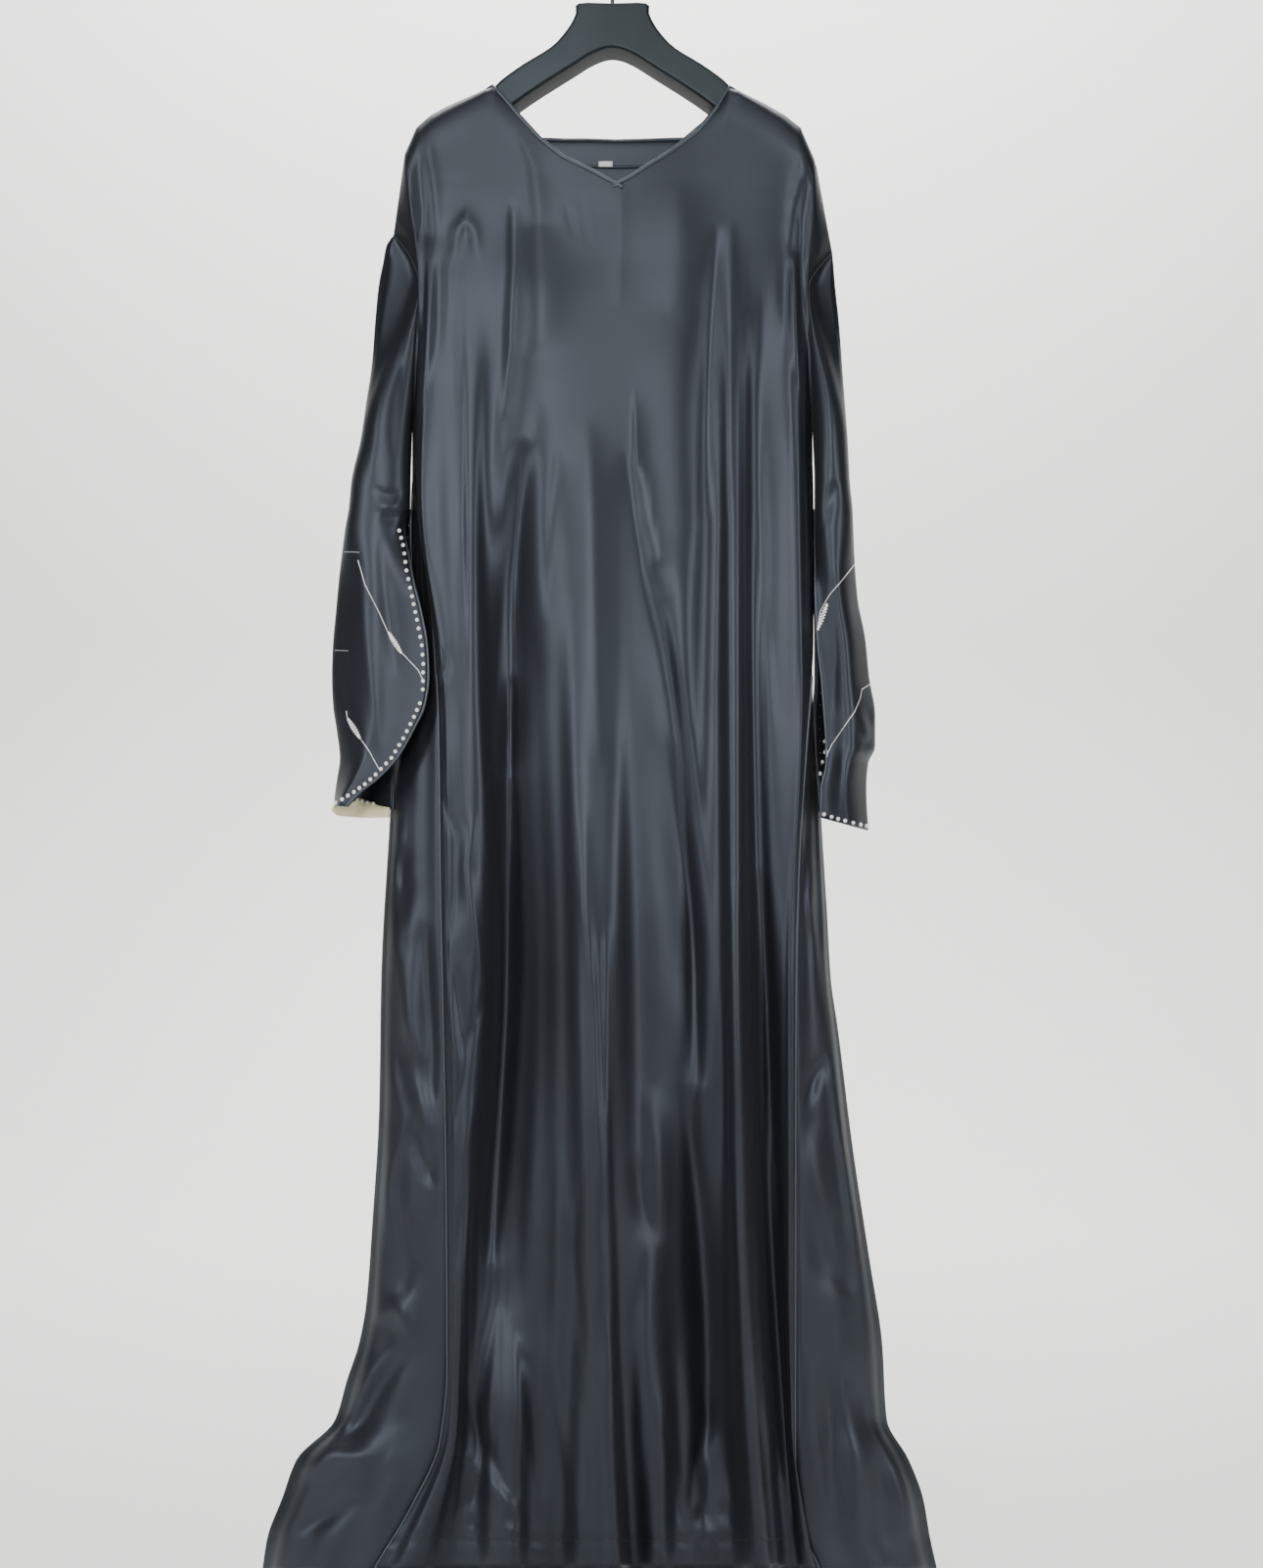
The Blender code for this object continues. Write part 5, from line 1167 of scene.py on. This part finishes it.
class Garment:
    """The abaya: its sheets, what is sewn on them and the hanger that holds them."""

    def __init__(self) -> None:
        self.body = Body()
        self.materials: dict[str, bpy.types.Material] = {}
        self.pieces: dict[str, bpy.types.Object] = {}

    def finish(self, piece: bpy.types.Object, finish: Finish, slot: str, *stands_for: str,
               wall: float = 0.0) -> None:
        """Gives a piece its material, and lets it ride on the part.

        Args:
            piece: The piece.
            finish: What it is made of.
            slot: Not used.
            stands_for: The solids that it replaces.
            wall: Thickness of a sheet in millimetres; 0 where the piece is no sheet.
        """
        if wall:
            thicken(piece, wall)
        if finish.name not in self.materials:
            self.materials[finish.name] = Shader(finish).build()
        piece.data.materials.clear()
        piece.data.materials.append(self.materials[finish.name])
        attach(piece, "root")
        if stands_for:
            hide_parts(*stands_for)
        self.pieces[piece.name] = piece

    def rows(self) -> Array:
        """Rows of the fine grid, in rows of the coarse one."""
        upper = np.linspace(0.0, ARMHOLE_ROWS, ARMHOLE_ROWS * UPPER_FINE + 1)
        lower = np.linspace(ARMHOLE_ROWS, ARMHOLE_ROWS + LOWER_ROWS, LOWER_ROWS * LOWER_FINE + 1)
        return np.concatenate((upper, lower[1:]))

    def panel(self, line_of: Callable[[int, Array], Array], last: int) -> Surface:
        """A body panel as a fine surface."""
        row = self.rows()
        lines = [line_of(line, row) for line in range(last + 1)]
        steps = []
        for first, second in zip(lines, lines[1:]):
            width = np.abs(second[:, 0] - first[:, 0]).mean() + np.abs(second[:, 2] - first[:, 2]).mean() / 2
            steps.append(int(np.clip(round(width / COLUMN_PITCH), FEWEST_COLUMNS, MOST_COLUMNS)))
        numbers = (0, *(int(n) for n in np.cumsum(steps)))
        return Surface(between_lines(lines, steps), numbers)

    def front(self) -> None:
        """The front panel."""
        surface = self.panel(self.body.front_line, self.body.front_last)
        surface.softened()
        surface.creased(FRONT_CREASES, -1.0, 0, surface.lines[-1])
        self.front_hem = surface.hemmed(-1.0, 0, surface.lines[-1])
        piece = grid_object("front_cloth", placed(surface.seen), FORWARD)
        self.finish(piece, SATIN, "satin", "front_panel", wall=SHELL_WALL)
        self.front_surface = surface

    def back(self) -> None:
        """The back panel, with its two forward turns."""
        surface = self.panel(self.body.back_line, self.body.back_last)
        surface.softened()
        right, left = surface.lines[self.body.wraps + 1], surface.lines[-self.body.wraps - 2]
        surface.creased(WRAP_CREASES, -1.0, 0, right)
        surface.creased(WRAP_CREASES, -1.0, left, surface.lines[-1])
        surface.creased(BACK_CREASES, 1.0, right, left)
        self.back_hem = surface.hemmed(1.0, right, left)
        piece = grid_object("back_cloth", placed(surface.seen), -FORWARD)
        self.back_sight = Sight(piece)
        self.finish(piece, SATIN, "satin", "back_panel", wall=SHELL_WALL)
        self.back_surface = surface

    def sleeve(self, side: Side) -> None:
        """A sleeve with its two petals and their trim."""
        surface = Sleeve(side).surface()
        middle = SLEEVE_HALF_COLUMNS
        surface.creased(SLEEVE_CREASES[side], -1.0, 0, middle)
        surface.creased(SLEEVE_CREASES[side], SLEEVE_BACK_CREASED, middle, 2 * middle)
        name = side.value
        piece = grid_object(f"{name}_sleeve_cloth", placed(surface.seen), FORWARD, middle)
        sight = Sight(piece)
        self.finish(piece, SATIN, "satin", f"{name}_sleeve", f"{name}_front_petal", f"{name}_back_petal",
                    wall=SHELL_WALL)
        self.sleeve_trim(side, surface, sight)

    def sleeve_trim(self, side: Side, surface: Surface, sight: Sight) -> None:
        """Beads, braid and leaf-shaped clusters of one sleeve."""
        name, slit = side.value, slice(SLEEVE_UPPER_ROWS, None)
        beads = Beads(f"{name}_sleeve_beads")
        for pitch, points in BEAD_LINES[side]:
            for place in sight.run(points, BEAD_RADIUS * 0.5, pitch):
                beads.add(place, BEAD_RADIUS)
        for first, last in LEAVES[side]:
            self.leaf(beads, sight, first, last)
        self.edge_beads(beads, surface.places(EDGE_BEAD_COLUMN, slit))
        self.finish(beads.piece(), BEADS, "beads")
        runs = [sight.run(points, BRAID_LIFT, BRAID_STEP) for points in BRAID_LINES[side]]
        braid = tube_object(f"{name}_sleeve_braid", [run for run in runs if len(run) > 1], BRAID_RADIUS)
        self.finish(braid, BRAID, "silver")
        if side is Side.RIGHT:
            tacks = [sight.run(points, TACK_LIFT, TACK_STEP) for points in TACKS]
            self.finish(tube_object("right_sleeve_tacks", tacks, TACK_RADIUS), BRAID, "silver")
        edges = [surface.places(0, slit), surface.places(-1, slit)]
        # The edging takes the lighter binding colour, a painted highlight on the rolled edges
        self.finish(tube_object(f"{name}_petal_edging", edges, PIPING_RADIUS), BINDING_PAINTED_HIGHLIGHT, "binding")
        seam = [Vector(point) for point in placed(surface.seen[:, 0])]
        self.finish(tube_object(f"{name}_armhole_seam", [seam], SEAM_RADIUS), THREAD, "satin")

    @staticmethod
    def edge_beads(beads: Beads, line: Sequence[Vector]) -> None:
        """Beads along the edge of the petal behind, spaced as on the front one."""
        travelled = EDGE_BEAD_PITCH * MM
        for first, second in zip(line, line[1:]):
            travelled += (second - first).length
            if travelled >= EDGE_BEAD_PITCH * MM:
                beads.add(second + Vector((0.0, BEAD_RADIUS * 0.5 * MM, 0.0)), BEAD_RADIUS)
                travelled = 0.0

    @staticmethod
    def leaf(beads: Beads, sight: Sight, first: tuple[float, float], last: tuple[float, float]) -> None:
        """A leaf-shaped cluster of small beads between two points."""
        dx, dd = last[0] - first[0], last[1] - first[1]
        length = math.hypot(dx, dd)
        for row in range(LEAF_ROWS):
            share = row / (LEAF_ROWS - 1)
            spread = LEAF_WIDTH * math.sin(math.pi * (LEAF_BLUNT + LEAF_TAPER * share))
            for lane in (-1, 0, 1):
                along = share + LEAF_STAGGER * abs(lane)
                x = first[0] + dx * along - dd / length * spread * lane / 2
                down = first[1] + dd * along + dx / length * spread * lane / 2
                place = sight.hit(x, down, LEAF_LIFT)
                if place is not None:
                    beads.add(place, LEAF_BEAD_RADIUS)

    def slit_piping(self) -> None:
        """The narrow rolled edge of both panels at the side slits and the hem."""
        runs = []
        for surface in (self.front_surface, self.back_surface):
            down = surface.seen[0, :, 1]
            opened = slice(int(np.searchsorted(down, SLIT_TOP)), None)
            runs.extend((surface.places(0, opened), surface.places(-1, opened)))
        # The lighter binding colour paints the highlight along these rolled edges
        self.finish(tube_object("slit_piping", runs, PIPING_RADIUS), BINDING_PAINTED_HIGHLIGHT, "binding")
        self.stitches("front_hem_stitches", self.front_hem, STITCH_LIFT * MM * FORWARD)
        self.stitches("back_hem_stitches", self.back_hem, -STITCH_LIFT * MM * FORWARD)

    def neck(self) -> None:
        """The bias binding round the neck; its ends cross at the neck point."""
        row = [Vector(point) for point in placed(self.front_surface.seen[:, 0])]
        first, point, last = (self.front_surface.lines[n] for n in NECK_FRONT_LINES)
        right, left = row[first:point + 1], row[point:last + 1]
        over = (right[-1] - right[-4]).normalized() * CROSS_LONG * MM
        under = (left[0] - left[3]).normalized() * CROSS_SHORT * MM
        right.append(right[-1] + over + CROSS_OVER * MM * FORWARD)
        left.insert(0, left[0] + under - CROSS_UNDER * MM * FORWARD)
        # Both neck bindings take the lighter binding colour, a painted highlight on their rolled edges
        bound = tube_object("front_binding", [right, left], BINDING_RADIUS)
        self.finish(bound, BINDING_PAINTED_HIGHLIGHT, "binding", "front_neck_binding")
        row = [Vector(point) for point in placed(self.back_surface.seen[:, 0])]
        first, last = (self.back_surface.lines[n] for n in NECK_BACK_LINES)
        behind = tube_object("back_binding", [row[first:last + 1]], BINDING_RADIUS)
        self.finish(behind, BINDING_PAINTED_HIGHLIGHT, "binding", "back_neck_binding")

    def neck_facing(self) -> None:
        """The facing inside the back of the neck, its lower edge and the bare label on it."""
        first, last = (self.back_surface.lines[n] for n in FACING_LINES)
        inner = self.back_surface.seen[first:last + 1, 1:FACING_FINE_ROWS + 1].copy()
        share = np.linspace(0.0, 1.0, len(inner))[:, None]
        inner[..., 2] -= SHELL_WALL + (FACING_INSIDE - SHELL_WALL) * np.sqrt(np.sin(math.pi * share))
        facing = grid_object("back_facing", placed(inner), FORWARD)
        self.finish(facing, SATIN, "satin", "back_neck_facing", wall=FACING_WALL)
        edge = [Vector(point) for point in placed(inner[:, -1])]
        # The hem cord takes the lighter binding colour, a painted highlight on its rolled edge
        self.finish(tube_object("facing_hem", [edge], FACING_HEM_RADIUS), BINDING_PAINTED_HIGHLIGHT, "binding")
        left, right, top, low = LABEL_PLACE
        lift = FACING_INSIDE + LABEL_LIFT
        tape = [[self.back_sight.hit(x, down, lift) for down in np.linspace(top, low, LABEL_ROWS)]
                for x in np.linspace(left, right, LABEL_COLUMNS)]
        label = grid_object("bare_label", np.array(tape, dtype=float), FORWARD)
        self.finish(label, LABEL, "label", "size_label", wall=LABEL_WALL)

    def cuff_inside(self) -> None:
        """The pale facing seen inside the cuff of the right sleeve."""
        sleeve = Sleeve(Side.RIGHT)
        columns = []
        bulge = CUFF_BELLY * np.sin(math.pi * np.linspace(0.0, 1.0, CUFF_ROWS))
        for share in np.linspace(0.0, 1.0, CUFF_COLUMNS):
            x = CUFF_INSIDE[0][0] + (CUFF_INSIDE[-1][0] - CUFF_INSIDE[0][0]) * share
            top, low = (float(column_of(CUFF_INSIDE, k, x)) for k in (1, 2))
            y = sleeve.petal(share, True, np.ones(1))[0, 2] - CUFF_AHEAD
            out = y - bulge * math.sin(math.pi * share)
            columns.append(stacked(x, np.linspace(top, low, CUFF_ROWS), out))
        facing = grid_object("cuff_facing", placed(np.stack(columns)), FORWARD)
        sight = Sight(facing)
        self.finish(facing, CREAM, "cream", "right_cuff_facing", wall=FACING_WALL)
        beads = Beads("right_cuff_beads")
        for x, down in CUFF_BEADS:
            place = sight.hit(x, down, BEAD_RADIUS * 0.5)
            if place is not None:
                beads.add(place, CUFF_BEAD_RADIUS)
        self.finish(beads.piece(), BEADS, "beads")

    def stitches(self, name: str, line: Sequence[Vector], lift: Vector) -> None:
        """A row of stitches along a line of points.

        Args:
            name: The piece's name.
            line: Points in metres.
            lift: How far the stitches stand off the points.
        """
        stitch, travelled, runs = STITCH_LONG * MM, 0.0, []
        for first, second in zip(line, line[1:]):
            reach = (second - first).length
            count = int((travelled + reach) / (2 * stitch))
            for k in range(count):
                start = first.lerp(second, min(2 * k * stitch / reach, 1.0))
                end = start + (second - first).normalized() * stitch
                runs.append([start + lift, end + lift])
            travelled += reach - 2 * count * stitch
        self.finish(tube_object(name, runs, STITCH_RADIUS, resolution=0), THREAD, "satin")

    def hanger(self) -> None:
        """The moulded hanger."""
        self.outline = hanger_outline()
        curve = bpy.data.curves.new("hanger_shape", "CURVE")
        curve.dimensions = "2D"
        curve.fill_mode = "BOTH"
        curve.extrude = (HANGER_DEPTH / 2 - HANGER_ROUND) * MM
        curve.bevel_depth = HANGER_ROUND * MM
        curve.bevel_resolution = HANGER_ROUND_STEPS
        curve.offset = -HANGER_ROUND * MM
        spline = curve.splines.new("POLY")
        spline.points.add(len(self.outline) - 1)
        for point, (x, z) in zip(spline.points, self.outline):
            point.co = (x, z, 0.0, 1.0)
        spline.use_cyclic_u = True
        flat = bpy.data.objects.new("hanger_shape", curve)
        mesh = bpy.data.meshes.new_from_object(flat)
        mesh.transform(Matrix.Rotation(math.radians(90), 4, "X"))
        mesh.shade_smooth()
        mesh.set_sharp_from_angle(angle=math.radians(HANGER_SHARP))
        bpy.data.objects.remove(flat)
        self.finish(linked("moulded_hanger", mesh), PLASTIC, "hanger", "hanger_body")

    def hook(self) -> None:
        """The wire hook, from the hanger's neck up its stem and round its bight."""
        neck_top = -max(z for _, z in self.outline) / MM
        route = [(HANGER_X, neck_top - HOOK_STEM_GAP)]
        route.extend((HANGER_X + x, down) for x, down in HOOK_STEM)
        first, last = (math.radians(angle) for angle in HOOK_TURN)
        centre = HOOK_RADIUS - HOOK_WIRE / 2
        for step in range(2 * HOOK_STEPS + 1):
            angle = first + (last - first) * step / (2 * HOOK_STEPS)
            route.append((HOOK_RADIUS * math.cos(angle), centre - HOOK_RADIUS * math.sin(angle)))
        wire = [Vector((x * MM, 0.0, -down * MM)) for x, down in route]
        hook = tube_object("wire_hook", [wire], HOOK_WIRE / 2, resolution=HOOK_ROUND_STEPS)
        self.finish(hook, CHROME, "hook", "hanger_hook")

    def build(self) -> None:
        """Makes every sheet with its trim, then the hanger."""
        self.front()
        self.back()
        for side in Side:
            self.sleeve(side)
        self.slit_piping()
        self.neck()
        self.neck_facing()
        self.cuff_inside()
        self.hanger()
        self.hook()


class Studio:
    """The camera, the lights and the paper behind the part."""

    def camera(self) -> None:
        """Stands the camera where the photograph was taken from."""
        data = bpy.data.cameras.new("eye")
        data.sensor_fit = "VERTICAL"
        data.sensor_height = SENSOR_HEIGHT
        data.lens = data.sensor_height / 2 * EYE_DISTANCE / (FRAME_HEIGHT / 2)
        data.clip_end = CLIP_END
        eye = linked("eye", data)
        eye.location = Sight.EYE
        eye.rotation_euler = (math.radians(90), 0.0, 0.0)
        bpy.context.scene.camera = eye

    def light(self, name: str, place: Sequence[float], aim: Sequence[float], size: Sequence[float],
              watts: float, spread: float) -> None:
        """A soft rectangular light that faces its aim."""
        data = bpy.data.lights.new(name, "AREA")
        data.shape = "RECTANGLE"
        data.size, data.size_y = size
        data.energy = watts
        data.spread = math.radians(spread)
        lamp = linked(name, data)
        lamp.location = place
        lamp.rotation_euler = (Vector(aim) - Vector(place)).to_track_quat("-Z", "Y").to_euler()

    def paper(self) -> None:
        """A pale floor that curves up into a wall."""
        profile = [(-WALL_FAR, 0.0)]
        for step in range(PAPER_STEPS + 1):
            angle = math.pi / 2 * step / PAPER_STEPS
            profile.append((PAPER_BEHIND - PAPER_BEND + PAPER_BEND * math.sin(angle),
                            PAPER_BEND - PAPER_BEND * math.cos(angle)))
        profile.append((PAPER_BEHIND, PAPER_HIGH))
        bm = bmesh.new()
        verts = [bm.verts.new((-PAPER_WIDE / 2, y, FLOOR_Z + z)) for y, z in profile]
        edges = [bm.edges.new(pair) for pair in zip(verts, verts[1:])]
        grown = bmesh.ops.extrude_edge_only(bm, edges=edges)
        moved = [item for item in grown["geom"] if isinstance(item, bmesh.types.BMVert)]
        bmesh.ops.translate(bm, verts=moved, vec=(PAPER_WIDE, 0.0, 0.0))
        bmesh.ops.recalc_face_normals(bm, faces=bm.faces)
        paper = linked("paper", mesh_of("paper", bm))
        paper.data.materials.append(Shader(PAPER).build())

    def world(self) -> None:
        """A faint even light from all round."""
        world = bpy.data.worlds.new("room")
        world.use_nodes = True
        ground = world.node_tree.nodes["Background"]
        ground.inputs["Color"].default_value = linear(ROOM_COLOUR)
        ground.inputs["Strength"].default_value = ROOM_LIGHT
        bpy.context.scene.world = world

    def build(self) -> None:
        """Sets up the whole studio."""
        self.camera()
        self.world()
        self.paper()
        for entry in LIGHTS:
            self.light(*entry)


def main() -> None:
    """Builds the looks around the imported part."""
    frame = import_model()
    LOG.info("packed nodes: %d", len(frame["nodes"]))
    Studio().build()
    Garment().build()


if __name__ == "__main__":
    logging.basicConfig(level=logging.INFO)
    main()
